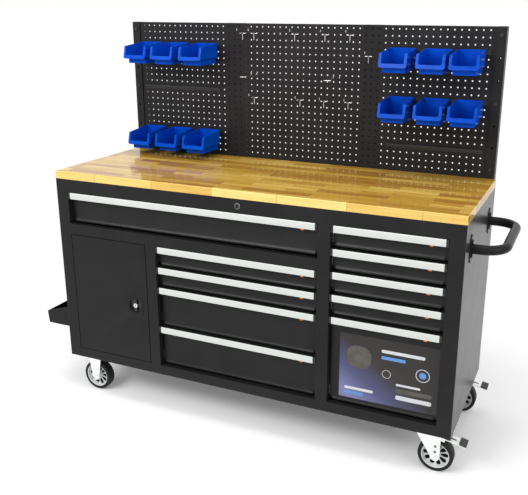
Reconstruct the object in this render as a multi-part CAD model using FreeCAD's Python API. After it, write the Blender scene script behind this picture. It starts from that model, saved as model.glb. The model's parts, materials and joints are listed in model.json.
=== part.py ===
import FreeCAD, Part
import math
import os

# A rolling tool cabinet: a steel cabinet on four casters with ten drawers and a
# side door, a wooden worktop, and a pegboard wall that carries bins and hooks.
# Sizes are in millimetres. X runs along the front, Y from the front to the back,
# Z up from the floor. The sizes below are the ones that can be set.

# Cabinet and worktop
CABINET_WIDTH = 1575.0
CABINET_DEPTH = 554.0
CABINET_HEIGHT = 748.0
WORKTOP_THICKNESS = 29.0
WORKTOP_EDGE_RADIUS = 2.5
SHEET = 1.5
BASE_SHEET = 2.5
BEAM_HEIGHT = 30.0
BEAM_MARGIN = 4.0
BRACES = 4
BRACE_WIDTH = 70.0
BRACE_HEIGHT = 22.0
DOOR_SHELF_SETBACK = 25.0

# Front frame
FRAME_DEPTH = 25.0
END_STILE = 51.0
DOOR_STILE = 44.0
MIDDLE_STILE = 45.0
TOP_RAIL = 51.0
MIDDLE_RAIL = 42.0
BOTTOM_RAIL = 39.0
DOOR_OPENING = 343.0
RIGHT_OPENING = 393.0
WIDE_OPENING_HEIGHT = 126.0

# Drawers; the shares say how a column's height is split, from the top down
CENTRE_SHARES = (1, 1, 2, 2)
RIGHT_SHARES = (1, 1, 1, 1, 4)
SILL_GAP = 5.0
DRAWER_GAP = 3.0
DRAWER_SIDE_GAP = 3.5
DRAWER_SHEET = 1.2
FRONT_SHEET = 1.5
FRONT_RECESS = 24.0
RIDGE_PROUD = 6.0
RIDGE_LIP = 5.5
RIDGE_SLOPE = 9.5
RIDGE_INSET = 11.0
BOX_RISE = 5.0
BOX_TOP_DROP = 22.0
BOX_BACK_GAP = 31.0

# Drawer slides
SLIDE_WIDTH = 12.7
SLIDE_HEIGHT = 35.0
SLIDE_SHEET = 1.2
SLIDE_BALL_GAP = 3.0
SLIDE_RISE = 25.0
SLIDE_FRONT_GAP = 3.5
SLIDE_BACK_GAP = 43.0

# Drawer pulls and their catches
PULL_DROP = 2.0
PULL_HEIGHT = 24.5
PULL_WALL = 2.0
PULL_PROUD = 1.0
PULL_LIP = 10.0
PULL_HOOK = 12.0
PULL_GAP = 1.5
PULL_CAP = 9.0
CATCH_WIDTH = 11.0
CATCH_HEIGHT = 3.5
CATCH_SLIDER = 5.0
CATCH_STEM = 3.0
CATCH_TRAVEL = 8.0
CATCH_INSET = 55.5
CATCH_CLEARANCE = 0.3

# Door with its turn latch
DOOR_GAP = 2.5
DOOR_THICKNESS = 20.0
HINGE_INSET = 5.0
HINGE_DEPTH = 4.0
HINGE_PIN_RADIUS = 3.0
HINGE_PIN_REACH = 13.0
HINGE_BLOCK = 14.0
TURN_CLEARANCE = 0.05
LATCH_EDGE = 57.5
LATCH_RISE = 235.0
LATCH_PLATE = 66.0
LATCH_PLATE_PROUD = 1.2
LATCH_RADIUS = 28.0
LATCH_GAP = 0.5
LATCH_CUP = 10.0
LATCH_DISC = 2.5
LATCH_GRIP = 13.0
LATCH_GRIP_MARGIN = 3.0
LATCH_BARREL_RADIUS = 9.0
LATCH_SHAFT_RADIUS = 6.0
TONGUE_OVERLAP = 30.0
TONGUE_WIDTH = 20.0
TONGUE_SHEET = 2.5
TONGUE_GAP = 2.0

# Cabinet lock
LOCK_RADIUS = 9.5
LOCK_FLANGE_RADIUS = 11.5
LOCK_PROUD = 4.0
LOCK_FLANGE_GAP = 0.3
LOCK_CAM_REACH = 36.0
LOCK_CAM_WIDTH = 14.0
LOCK_CAM_SHEET = 2.0
LOCK_CAM_GAP = 0.5
KEY_SLOT_WIDTH = 2.0
KEY_SLOT_HEIGHT = 10.0
KEY_SLOT_DEPTH = 3.0

# Pegboard wall
BOARD_HEIGHT = 543.0
BOARD_INSET = 7.5
BOARD_SHEET = 1.5
BOARD_FOLD = 12.0
BOARD_RECESS = 5.0
BOARD_DROP = 6.0
POST_DEPTH = 40.0
POST_WALL = 1.5
POST_DROP = 243.0
END_POST_WIDTH = 34.0
MIDDLE_POST_WIDTH = 74.0
MIDDLE_POST_SPACING = 584.2
POST_BOLT_LOW = 30.0
POST_BOLT_HIGH = 60.0
POST_BOLT_SHIFT = 12.0
POST_HOLE_RADIUS = 4.0
POST_HOLE_PITCH = 80.0
POST_HOLE_START = 34.0
POST_HOLES_PER_BOLT = 3
PEG_PITCH = 25.4
PEG_HOLE_RADIUS = 2.8
PEG_SIDE_MARGIN = 19.0
PEG_TOP_MARGIN = 12.0
PEG_FIRST_ROW = 21.8

# Rails and bins
RAIL_LENGTH = 369.0
RAIL_END_GAP = 15.4
RAIL_SHEET = 1.5
RAIL_REACH = 10.0
RAIL_BELOW = 9.0
RAIL_LEDGE = 1.0
RAIL_LIP = 6.0
RAIL_ROWS_FROM_EDGE = 3
BIN_WIDTH = 103.0
BIN_BODY_WIDTH = 98.0
BIN_BASE_WIDTH = 82.0
BIN_DEPTH = 149.0
BIN_HEIGHT = 82.0
BIN_FALL = 13.0
BIN_LEAN = 13.0
BIN_WALL = 2.5
BIN_COLLAR = 8.0
BIN_COLLAR_PROUD = 1.0
BIN_CORNER = 8.0
BIN_RIM = 9.5
BIN_LIP_HEIGHT = 33.0
BIN_MOUTH_CORNER = 6.0
BIN_STEP_HEIGHT = 19.0
BIN_SETBACK = 24.0
BIN_HOOK_WIDTH = 60.0
BIN_HOOK_SHEET = 2.5
BIN_CLEARANCE = 0.5
# Where three bins hang, from the middle of their rail, by side and by rail from the top
BIN_PLACES = {(-1, 0): (-130.0, -3.0, 130.5), (-1, 2): (-131.5, 1.0, 133.0),
              (1, 0): (-131.5, 3.0, 119.5), (1, 1): (-128.0, 3.0, 124.5)}

# Peg hooks, made of wire; each place is the column right of the middle and the
# row above the middle row of the left one of its two holes
HOOK_WIRE_RADIUS = 2.0
HOOK_TAIL = 4.0
HOOK_STEM = 25.0
HOOK_REACH = 50.0
HOOK_RISE = 12.0
HOOK_TIP = 8.0
HOOK_PLACES = ((-11, 9), (-9, 9), (-2, 9), (3, 9), (7, 9), (10, 6), (-9, -1), (-1, -1), (3, -1), (7, -1))
FORK_HOOK_REACH = 100.0
FORK_HOOK_DROP = 11.0
FORK_HOOK_PLACES = ((-9, 3), (5, 3))

# Push handle on the right side
HANDLE_REACH = 120.0
HANDLE_TUBE_RADIUS = 16.0
HANDLE_TUBE_WALL = 2.0
HANDLE_BEND_RADIUS = 70.0
HANDLE_BACK_GAP = 102.0
HANDLE_SPAN = 358.0
HANDLE_DROP = 131.0
HANDLE_PLATE_WIDTH = 40.0
HANDLE_PLATE_HEIGHT = 96.0
HANDLE_PLATE = 3.0
HANDLE_BOLT_SPACING = 48.0

# Tray on the left side
TRAY_REACH = 120.0
TRAY_FLOOR_REACH = 115.0
TRAY_INSET = 15.0
TRAY_RISE = 117.0
TRAY_OUTER_HEIGHT = 51.0
TRAY_INNER_HEIGHT = 90.0
TRAY_SCREW_EDGE = 40.0
TRAY_SCREW_DROP = 15.0

# Casters
WHEEL_RADIUS = 62.5
WHEEL_WIDTH = 38.0
TYRE_DEPTH = 13.0
TREAD_ROUND = 5.0
RIM_INSET = 2.0
RIM_WALL = 4.0
HUB_RADIUS = 15.0
WEB_THICKNESS = 7.0
SPOKES = 10
SPOKE_WIDTH = 6.0
WINDOW_EDGE = 2.5
BEARING_RADIUS = 9.0
BEARING_GAP = 0.5
AXLE_RADIUS = 6.0
AXLE_HEAD_RADIUS = 9.0
AXLE_HEAD = 4.0
CASTER_END_GAP = 90.0
CASTER_FRONT_GAP = 34.0
CASTER_RISE = 37.0
CASTER_PLATE_LENGTH = 104.0
CASTER_PLATE_WIDTH = 76.0
CASTER_PLATE = 4.0
CASTER_BOLT_EDGE = 10.0
FORK_SHEET = 4.0
FORK_GAP = 3.0
FORK_FOOT_RADIUS = 17.0
FORK_TOP_WIDTH = 60.0
SWIVEL_OFFSET = 35.0
RACE_RADIUS = 34.0
RACE_HEIGHT = 6.0
CROWN_HEIGHT = 6.0
SWIVEL_GAP = 0.3
KING_PIN_RADIUS = 6.0
KING_HEAD_RADIUS = 11.0
KING_HEAD = 3.5
PEDAL_TURN = 10.0
PEDAL_SHEET = 3.0
PEDAL_REACH = 94.0
PEDAL_FALL = 20.0
PEDAL_PIN_RADIUS = 4.0
PEDAL_SLEEVE = 3.0
PEDAL_PIN_INSET = 8.0
PEDAL_PIN_DROP = 8.0
PEDAL_PAD_LENGTH = 24.0
PEDAL_PAD = 5.0
SHOE_LENGTH = 14.0
SHOE_GAP = 0.8

# Fasteners
BOLT_RADIUS = 4.0
BOLT_HEAD_RADIUS = 7.0
BOLT_HEAD = 4.5
BOLT_REACH = 10.0
SCREW_RADIUS = 2.5
SCREW_HEAD_RADIUS = 5.0
SCREW_HEAD = 2.5
SCREW_REACH = 8.0
WORKTOP_SCREW_DEPTH = 18.0
WORKTOP_SCREW_EDGE = 60.0

# Places that follow from the sizes above
HALF = CABINET_WIDTH / 2
BASE_Z = 2 * WHEEL_RADIUS + CASTER_RISE
DECK_Z = BASE_Z + CABINET_HEIGHT
TOP_Z = DECK_Z + WORKTOP_THICKNESS
LEFT_X = -HALF + END_STILE
DOOR_RIGHT_X = LEFT_X + DOOR_OPENING
CENTRE_LEFT_X = DOOR_RIGHT_X + DOOR_STILE
RIGHT_X = HALF - END_STILE
RIGHT_LEFT_X = RIGHT_X - RIGHT_OPENING
CENTRE_RIGHT_X = RIGHT_LEFT_X - MIDDLE_STILE
OPENING_TOP = DECK_Z - TOP_RAIL
WIDE_BOTTOM = OPENING_TOP - WIDE_OPENING_HEIGHT
LOWER_TOP = WIDE_BOTTOM - MIDDLE_RAIL
OPENING_BOTTOM = BASE_Z + BOTTOM_RAIL
SHELF_Z = LOWER_TOP + MIDDLE_RAIL / 2
INNER_BACK = CABINET_DEPTH - SHEET
BASE_TOP = BASE_Z + BASE_SHEET
WALL_TOP = DECK_Z - BRACE_HEIGHT
FRONT_BACK = FRONT_RECESS + FRONT_SHEET
CAM_Y = max(FRAME_DEPTH, FRONT_BACK) + LOCK_CAM_GAP
TONGUE_Y = FRAME_DEPTH + TONGUE_GAP
SLIDE_Y = (FRONT_BACK + SLIDE_FRONT_GAP, INNER_BACK - SLIDE_BACK_GAP)
HINGE_AXIS = (LEFT_X + DOOR_GAP + HINGE_INSET, HINGE_DEPTH)
LATCH_CENTRE = (DOOR_RIGHT_X - LATCH_EDGE, OPENING_BOTTOM + LATCH_RISE)
LOCK_CENTRE = (0.0, (OPENING_TOP + DECK_Z) / 2)
BOARD_Y = CABINET_DEPTH + BOARD_RECESS
BOARD_TOP = TOP_Z + BOARD_HEIGHT
BOARD_LOW = TOP_Z - BOARD_DROP
BOARD_HALF = HALF - BOARD_INSET - END_POST_WIDTH
POST_BACK = CABINET_DEPTH + POST_DEPTH
END_POST_X = BOARD_HALF + END_POST_WIDTH / 2
POST_HOLES = int((BOARD_HEIGHT - POST_HOLE_START) / POST_HOLE_PITCH) + 1
PEG_COLUMNS = int(2 * (BOARD_HALF - PEG_SIDE_MARGIN) / PEG_PITCH) + 1
PEG_ROWS = int((BOARD_HEIGHT - PEG_FIRST_ROW - PEG_TOP_MARGIN) / PEG_PITCH) + 1
MIDDLE_ROW = (PEG_ROWS - 1) // 2
RAIL_ROWS = (PEG_ROWS - 1 - RAIL_ROWS_FROM_EDGE, MIDDLE_ROW, RAIL_ROWS_FROM_EDGE)
TRAY_Z = BASE_Z + TRAY_RISE
HANDLE_Z = TOP_Z - HANDLE_DROP
FORK_Y = (WHEEL_WIDTH / 2 + FORK_GAP, WHEEL_WIDTH / 2 + FORK_GAP + FORK_SHEET)
PLATE_Z = BASE_Z - CASTER_PLATE
CROWN_TOP = PLATE_Z - RACE_HEIGHT - SWIVEL_GAP
CROWN_LOW = CROWN_TOP - CROWN_HEIGHT
FORK_BACK = SWIVEL_OFFSET + FORK_FOOT_RADIUS
PEDAL_PIVOT = (FORK_BACK - PEDAL_PIN_INSET, CROWN_LOW - PEDAL_PIN_DROP)
ORIGIN_X = (HANDLE_REACH - TRAY_REACH) / 2
ORIGIN_Y = (POST_BACK - max(LOCK_PROUD, PULL_PROUD, LATCH_PLATE_PROUD)) / 2


def vector(x, y, z):
    return FreeCAD.Vector(x, y, z)


def block(x, y, z):
    """A box from three pairs of low and high values."""
    return Part.makeBox(x[1] - x[0], y[1] - y[0], z[1] - z[0], vector(x[0], y[0], z[0]))


def place(axis, along, across):
    """The point at along on the axis and at across, a pair, on the two other axes in X, Y, Z order."""
    values = list(across)
    values.insert("xyz".index(axis), along)
    return vector(*values)


def rod(axis, centre, radius, span):
    """A cylinder along one axis; centre holds the two other coordinates."""
    low, high = span
    return Part.makeCylinder(radius, high - low, place(axis, low, centre), place(axis, 1, (0, 0)))


def prism(axis, outline, span):
    """An outline in the two other coordinates, drawn out along one axis."""
    low, high = span
    points = [place(axis, low, point) for point in outline]
    return Part.Face(Part.makePolygon(points + points[:1])).extrude(place(axis, high - low, (0, 0)))


def fused(shapes):
    """One solid from pieces that touch or overlap, with its seams removed."""
    return shapes[0].multiFuse(shapes[1:]).removeSplitter()


def moved(shape, x=0.0, y=0.0, z=0.0):
    copy = shape.copy()
    copy.translate(vector(x, y, z))
    return copy


def mirrored(shape, axis="x"):
    """The shape seen in a mirror through the origin that stands square to the axis."""
    return shape.mirror(vector(0, 0, 0), place(axis, 1, (0, 0)))


def wire_solid(points, radius):
    """A bent wire: a rod along each run and a ball at each bend."""
    runs = [Part.makeCylinder(radius, (end - start).Length, start, end - start)
            for start, end in zip(points, points[1:])]
    return fused(runs + [Part.makeSphere(radius, bend) for bend in points[1:-1]])


def bolt(axis, centre, head_at, tip_at):
    """A bolt whose shank runs from head_at to tip_at, with its head beyond head_at."""
    outwards = math.copysign(BOLT_HEAD, head_at - tip_at)
    shank = rod(axis, centre, BOLT_RADIUS, sorted((head_at, tip_at)))
    return fused([shank, rod(axis, centre, BOLT_HEAD_RADIUS, sorted((head_at, head_at + outwards)))])


def screw(axis, centre, head_at, tip_at):
    """A thinner bolt with a lower head."""
    outwards = math.copysign(SCREW_HEAD, head_at - tip_at)
    shank = rod(axis, centre, SCREW_RADIUS, sorted((head_at, tip_at)))
    return fused([shank, rod(axis, centre, SCREW_HEAD_RADIUS, sorted((head_at, head_at + outwards)))])


def column_x(column):
    """Where a column of peg holes stands; the columns lie evenly about the middle."""
    return (column - (PEG_COLUMNS - 1) / 2) * PEG_PITCH


def row_z(row):
    return TOP_Z + PEG_FIRST_ROW + row * PEG_PITCH


def post_hole_z(index):
    return TOP_Z + POST_HOLE_START + index * POST_HOLE_PITCH


def drawer_cells():
    """Each drawer's name with the left, right, bottom and top of its share of an opening."""
    cells = [("wide_drawer", LEFT_X, CENTRE_RIGHT_X, WIDE_BOTTOM + SILL_GAP, OPENING_TOP)]
    columns = (("centre_drawer", CENTRE_LEFT_X, CENTRE_RIGHT_X, LOWER_TOP, CENTRE_SHARES),
               ("right_drawer", RIGHT_LEFT_X, RIGHT_X, OPENING_TOP, RIGHT_SHARES))
    for name, left, right, top, shares in columns:
        unit = (top - OPENING_BOTTOM - SILL_GAP) / sum(shares)
        for number, share in enumerate(shares, 1):
            cells.append((f"{name}_{number}", left, right, top - share * unit, top))
            top -= share * unit
    return cells


# Cabinet body

def worktop():
    """A slab whose top edges are rounded, but for the back one, which meets the pegboard."""
    slab = block((-HALF, HALF), (0, CABINET_DEPTH), (DECK_Z, TOP_Z))
    rim = [edge for edge in slab.Edges if edge.BoundBox.ZMin > (DECK_Z + TOP_Z) / 2
           and edge.BoundBox.YMin < CABINET_DEPTH / 2]
    slab = slab.makeFillet(WORKTOP_EDGE_RADIUS, rim)
    return [slab.cut([rod("z", spot, SCREW_RADIUS, (DECK_Z, DECK_Z + WORKTOP_SCREW_DEPTH))
                      for spot in worktop_screws()])]


def rail(x, z):
    """A frame member that lies: a face plate with its top and bottom edges folded back."""
    hollow = block(x, (SHEET, FRAME_DEPTH), (z[0] + SHEET, z[1] - SHEET))
    return block(x, (0, FRAME_DEPTH), z).cut(hollow)


def stile(x, z):
    """A frame member that stands: a face plate with its side edges folded back."""
    hollow = block((x[0] + SHEET, x[1] - SHEET), (SHEET, FRAME_DEPTH), z)
    return block(x, (0, FRAME_DEPTH), z).cut(hollow)


def front_frame():
    lock_hole = rod("y", LOCK_CENTRE, LOCK_RADIUS + TURN_CLEARANCE, (0, SHEET))
    pins = hinge_pins()
    end_stile = stile((-HALF + SHEET, LEFT_X), (BASE_Z, DECK_Z))
    return [rail((LEFT_X, RIGHT_X), (OPENING_TOP, DECK_Z)).cut(lock_hole),
            rail((LEFT_X, CENTRE_RIGHT_X), (LOWER_TOP, WIDE_BOTTOM)).cut(pins),
            rail((LEFT_X, RIGHT_X), (BASE_Z, OPENING_BOTTOM)).cut(pins),
            end_stile,
            mirrored(end_stile),
            stile((DOOR_RIGHT_X, CENTRE_LEFT_X), (OPENING_BOTTOM, LOWER_TOP)),
            stile((CENTRE_RIGHT_X, RIGHT_LEFT_X), (OPENING_BOTTOM, OPENING_TOP))]


def side_panels():
    panel = block((-HALF, -HALF + SHEET), (0, CABINET_DEPTH), (BASE_Z, DECK_Z))
    tray_holes = [rod("x", spot, SCREW_RADIUS, (-HALF, -HALF + SHEET)) for spot in tray_screws()]
    handle_holes = [rod("x", spot, BOLT_RADIUS, (HALF - SHEET, HALF)) for spot in handle_bolts()]
    return [panel.cut(tray_holes), mirrored(panel).cut(handle_holes)]


def back_panel():
    sheet = block((-HALF + SHEET, HALF - SHEET), (INNER_BACK, CABINET_DEPTH), (BASE_Z, DECK_Z))
    return [sheet.cut([rod("y", spot, BOLT_RADIUS, (INNER_BACK, CABINET_DEPTH)) for spot in post_bolts()])]


def base_pan():
    """The floor of the cabinet, with a beam over each pair of casters."""
    depth = (FRAME_DEPTH, INNER_BACK)
    floor = block((-HALF + SHEET, HALF - SHEET), depth, (BASE_Z, BASE_TOP))
    floor = floor.cut([rod("z", spot, BOLT_RADIUS, (BASE_Z, BASE_TOP)) for spot in caster_bolts()])
    half = CASTER_PLATE_LENGTH / 2 + BEAM_MARGIN
    centre = -HALF + CASTER_END_GAP
    beam = block((centre - half, centre + half), depth, (BASE_TOP, BASE_TOP + BEAM_HEIGHT))
    hollow = block((centre - half + BASE_SHEET, centre + half - BASE_SHEET), depth,
                   (BASE_TOP, BASE_TOP + BEAM_HEIGHT - BASE_SHEET))
    beam = beam.cut(hollow)
    return [floor, beam, mirrored(beam)]


def inner_panels():
    """The walls that carry the slides, the shelves, and the braces under the worktop."""
    depth = (FRAME_DEPTH, INNER_BACK)
    walls = ((LEFT_X - SHEET, SHELF_Z + SHEET, WALL_TOP),
             (CENTRE_LEFT_X - SHEET, BASE_TOP, SHELF_Z),
             (CENTRE_RIGHT_X, BASE_TOP, WALL_TOP),
             (RIGHT_LEFT_X - SHEET, BASE_TOP, WALL_TOP),
             (RIGHT_X, BASE_TOP + BEAM_HEIGHT, WALL_TOP))
    shapes = [block((x, x + SHEET), depth, (low, high)) for x, low, high in walls]
    shapes.append(block((-HALF + SHEET, CENTRE_RIGHT_X), depth, (SHELF_Z, SHELF_Z + SHEET)))
    middle = (OPENING_BOTTOM + LOWER_TOP) / 2
    shelf_y = (FRAME_DEPTH + DOOR_SHELF_SETBACK, INNER_BACK)
    shapes.append(block((-HALF + SHEET, CENTRE_LEFT_X - SHEET), shelf_y, (middle, middle + SHEET)))
    return shapes + [brace(centre) for centre in brace_places()]


def brace_places():
    step = CABINET_WIDTH / BRACES
    return [(index + 0.5) * step - HALF for index in range(BRACES)]


def brace(centre):
    """A folded strip from front to back that the worktop is screwed to."""
    depth = (FRAME_DEPTH, INNER_BACK)
    half = BRACE_WIDTH / 2
    strip = block((centre - half, centre + half), depth, (WALL_TOP, DECK_Z))
    hollow = block((centre - half + SHEET, centre + half - SHEET), depth, (WALL_TOP, DECK_Z - SHEET))
    return strip.cut([hollow] + [rod("z", spot, SCREW_RADIUS, (DECK_Z - SHEET, DECK_Z))
                                 for spot in worktop_screws()])


def slide_height(cell_bottom):
    return cell_bottom + DRAWER_GAP + BOX_RISE + SLIDE_RISE


def slide_rails():
    """The fixed member of each slide: a channel on the wall, open towards the drawer."""
    half = SLIDE_HEIGHT / 2
    reach = SLIDE_WIDTH - SLIDE_SHEET - SLIDE_BALL_GAP
    member = block((0, reach), SLIDE_Y, (-half, half))
    member = member.cut(block((SLIDE_SHEET, reach), SLIDE_Y, (-half + SLIDE_SHEET, half - SLIDE_SHEET)))
    shapes = []
    for _, left, right, bottom, _ in drawer_cells():
        height = slide_height(bottom)
        shapes += [moved(member, x=left, z=height), moved(mirrored(member), x=right, z=height)]
    return shapes


# Drawers

def drawer_slide():
    """The moving member of a slide: a channel on the drawer, inside the fixed one."""
    half = SLIDE_HEIGHT / 2 - SLIDE_SHEET - SLIDE_BALL_GAP
    web = SLIDE_WIDTH - SLIDE_SHEET
    member = block((SLIDE_BALL_GAP, SLIDE_WIDTH), SLIDE_Y, (-half, half))
    return member.cut(block((SLIDE_BALL_GAP, web), SLIDE_Y, (-half + SLIDE_SHEET, half - SLIDE_SHEET)))


def drawer_front(x, z):
    """A sheet front with a ridge along its foot: a slope that ends in an upright lip."""
    sheet = block(x, (FRONT_RECESS, FRONT_BACK), z)
    crest = FRONT_RECESS - RIDGE_PROUD
    lip = z[0] + RIDGE_LIP
    ridge = prism("x", [(FRONT_RECESS, z[0]), (crest, z[0]), (crest, lip), (FRONT_RECESS, lip + RIDGE_SLOPE)],
                  (x[0] + RIDGE_INSET, x[1] - RIDGE_INSET))
    return [sheet, ridge]


def drawer(left, right, bottom, top):
    """A front, the folded box on its back, and the moving members of the box's two slides."""
    z = (bottom + DRAWER_GAP, top - PULL_DROP)
    front = fused(drawer_front((left + DRAWER_SIDE_GAP, right - DRAWER_SIDE_GAP), z))
    x = (left + SLIDE_WIDTH, right - SLIDE_WIDTH)
    y = (FRONT_BACK, INNER_BACK - BOX_BACK_GAP)
    z = (z[0] + BOX_RISE, top - BOX_TOP_DROP)
    hollow = block((x[0] + DRAWER_SHEET, x[1] - DRAWER_SHEET), (y[0], y[1] - DRAWER_SHEET),
                   (z[0] + DRAWER_SHEET, z[1]))
    box = block(x, y, z).cut(hollow)
    member = drawer_slide()
    height = slide_height(bottom)
    return [front, box, moved(member, x=left, z=height), moved(mirrored(member), x=right, z=height)]


def pull(left, right, top):
    """A drawn pull along the top of a front: a grip plate with a lip, and a cap at each end."""
    x = (left + PULL_GAP, right - PULL_GAP)
    z = (top - PULL_DROP - PULL_HEIGHT, top - PULL_DROP)
    y = (-PULL_PROUD, FRONT_RECESS)
    wall = PULL_WALL
    outline = [(y[0], z[0]), (PULL_LIP, z[0]), (PULL_LIP, z[0] + wall), (y[0] + wall, z[0] + wall),
               (y[0] + wall, z[1] - wall), (y[1] - wall, z[1] - wall), (y[1] - wall, z[1] - PULL_HOOK),
               (y[1], z[1] - PULL_HOOK), (y[1], z[1]), (y[0], z[1])]
    bar = prism("x", outline, (x[0] + PULL_CAP, x[1] - PULL_CAP))
    stem_x, stem_y = catch_stem(right)
    slot = block((stem_x[0] - CATCH_CLEARANCE - CATCH_TRAVEL, stem_x[1] + CATCH_CLEARANCE),
                 (stem_y[0] - CATCH_CLEARANCE, stem_y[1] + CATCH_CLEARANCE), (z[0], z[0] + wall))
    caps = [block(span, y, z) for span in ((x[0], x[0] + PULL_CAP), (x[1] - PULL_CAP, x[1]))]
    return [bar.cut(slot)] + caps


def catch_stem(right):
    """Where a catch's stem passes the lip of its pull, in x and in y."""
    middle = right - CATCH_INSET
    half = CATCH_WIDTH / 2 - 2 * CATCH_CLEARANCE
    depth = (PULL_LIP + PULL_WALL - PULL_PROUD) / 2
    return (middle - half, middle + half), (depth - CATCH_STEM / 2, depth + CATCH_STEM / 2)


def catch(right, top):
    """The sliding catch of one drawer: a thumb piece under the pull's lip and a slider above it."""
    low = top - PULL_DROP - PULL_HEIGHT - CATCH_CLEARANCE
    high = low + PULL_WALL + 2 * CATCH_CLEARANCE
    x = (right - CATCH_INSET - CATCH_WIDTH / 2, right - CATCH_INSET + CATCH_WIDTH / 2)
    inner = (PULL_WALL - PULL_PROUD + CATCH_CLEARANCE, PULL_LIP)
    return [fused([block(x, (-PULL_PROUD, PULL_LIP), (low - CATCH_HEIGHT, low)),
                   block(*catch_stem(right), (low, high)),
                   block(x, inner, (high, high + CATCH_SLIDER))])]


# Door and locks

def hinge_pins():
    """Two upright pins that reach from the frame's rails into the door."""
    return [rod("z", HINGE_AXIS, HINGE_PIN_RADIUS, (level - HINGE_PIN_REACH, level + HINGE_PIN_REACH))
            for level in (OPENING_BOTTOM, LOWER_TOP)]


def door():
    """A folded steel pan hung on two pins, with a plate and the latch's cup let into its face."""
    x = (LEFT_X + DOOR_GAP, DOOR_RIGHT_X - DOOR_GAP)
    z = (OPENING_BOTTOM + DOOR_GAP, LOWER_TOP - DOOR_GAP)
    pan = block(x, (0, DOOR_THICKNESS), z)
    hollow = block((x[0] + SHEET, x[1] - SHEET), (SHEET, DOOR_THICKNESS), (z[0] + SHEET, z[1] - SHEET))
    ends = ((z[0], z[0] + HINGE_BLOCK), (z[1] - HINGE_BLOCK, z[1]))
    blocks = [block((x[0], x[0] + HINGE_BLOCK), (0, DOOR_THICKNESS), span) for span in ends]
    half = LATCH_PLATE / 2
    centre_x, centre_z = LATCH_CENTRE
    plate = block((centre_x - half, centre_x + half), (-LATCH_PLATE_PROUD, 0),
                  (centre_z - half, centre_z + half))
    cup = rod("y", LATCH_CENTRE, LATCH_RADIUS + SHEET, (0, LATCH_CUP + SHEET))
    bores = [rod("z", HINGE_AXIS, HINGE_PIN_RADIUS + TURN_CLEARANCE, span) for span in ends]
    bores.append(rod("y", LATCH_CENTRE, LATCH_RADIUS, (-LATCH_PLATE_PROUD, LATCH_CUP)))
    bores.append(rod("y", LATCH_CENTRE, LATCH_SHAFT_RADIUS + TURN_CLEARANCE, (0, DOOR_THICKNESS)))
    return [fused([pan.cut(hollow), plate, cup] + blocks).cut(bores)]


def door_latch():
    """A turning grip in the cup, its shaft, and the tongue that turns behind the stile."""
    x, z = LATCH_CENTRE
    radius = LATCH_RADIUS - LATCH_GAP
    floor = LATCH_CUP - LATCH_GAP
    disc_y = floor - LATCH_DISC
    grip_z = (z - radius + LATCH_GRIP_MARGIN, z + radius - LATCH_GRIP_MARGIN)
    half = TONGUE_WIDTH / 2
    return [fused([rod("y", LATCH_CENTRE, radius, (disc_y, floor)),
                   block((x - LATCH_GRIP / 2, x + LATCH_GRIP / 2), (-LATCH_PLATE_PROUD, disc_y), grip_z),
                   rod("y", LATCH_CENTRE, LATCH_BARREL_RADIUS, (-LATCH_PLATE_PROUD, disc_y)),
                   rod("y", LATCH_CENTRE, LATCH_SHAFT_RADIUS, (floor, TONGUE_Y + TONGUE_SHEET)),
                   block((x - half, x + half), (TONGUE_Y, TONGUE_Y + TONGUE_SHEET),
                         (z - half, z + LATCH_EDGE + TONGUE_OVERLAP))])]


def cabinet_lock():
    """The key barrel in the top rail, with a cam that drops behind the wide drawer's front."""
    x, z = LOCK_CENTRE
    half = LOCK_CAM_WIDTH / 2
    key_slot = block((x - KEY_SLOT_WIDTH / 2, x + KEY_SLOT_WIDTH / 2),
                     (-LOCK_PROUD, -LOCK_PROUD + KEY_SLOT_DEPTH),
                     (z - KEY_SLOT_HEIGHT / 2, z + KEY_SLOT_HEIGHT / 2))
    body = fused([rod("y", LOCK_CENTRE, LOCK_FLANGE_RADIUS, (-LOCK_PROUD, -LOCK_FLANGE_GAP)),
                  rod("y", LOCK_CENTRE, LOCK_RADIUS, (-LOCK_FLANGE_GAP, CAM_Y)),
                  block((x - half, x + LOCK_CAM_REACH), (CAM_Y, CAM_Y + LOCK_CAM_SHEET),
                        (z - half, z + half))])
    return [body.cut(key_slot)]


# Pegboard wall

def pegboard():
    """A steel sheet punched with a grid of holes, its top and bottom edges folded back."""
    corners = [vector(x, BOARD_Y, z) for x, z in ((-BOARD_HALF, BOARD_LOW), (BOARD_HALF, BOARD_LOW),
                                                  (BOARD_HALF, BOARD_TOP), (-BOARD_HALF, BOARD_TOP))]
    wires = [Part.makePolygon(corners + corners[:1])]
    for column in range(PEG_COLUMNS):
        for row in range(PEG_ROWS):
            centre = vector(column_x(column), BOARD_Y, row_z(row))
            wires.append(Part.Wire([Part.makeCircle(PEG_HOLE_RADIUS, centre, vector(0, 1, 0))]))
    sheet = Part.Face(wires, "Part::FaceMakerBullseye").extrude(vector(0, BOARD_SHEET, 0))
    fold_y = (BOARD_Y + BOARD_SHEET, BOARD_Y + BOARD_FOLD)
    folds = [block((-BOARD_HALF, BOARD_HALF), fold_y, span)
             for span in ((BOARD_LOW, BOARD_LOW + BOARD_SHEET), (BOARD_TOP - BOARD_SHEET, BOARD_TOP))]
    return [sheet] + folds


def tube(x, y, z):
    """An upright of hollow rectangular section."""
    hollow = block((x[0] + POST_WALL, x[1] - POST_WALL), (y[0] + POST_WALL, y[1] - POST_WALL), z)
    return block(x, y, z).cut(hollow)


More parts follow.
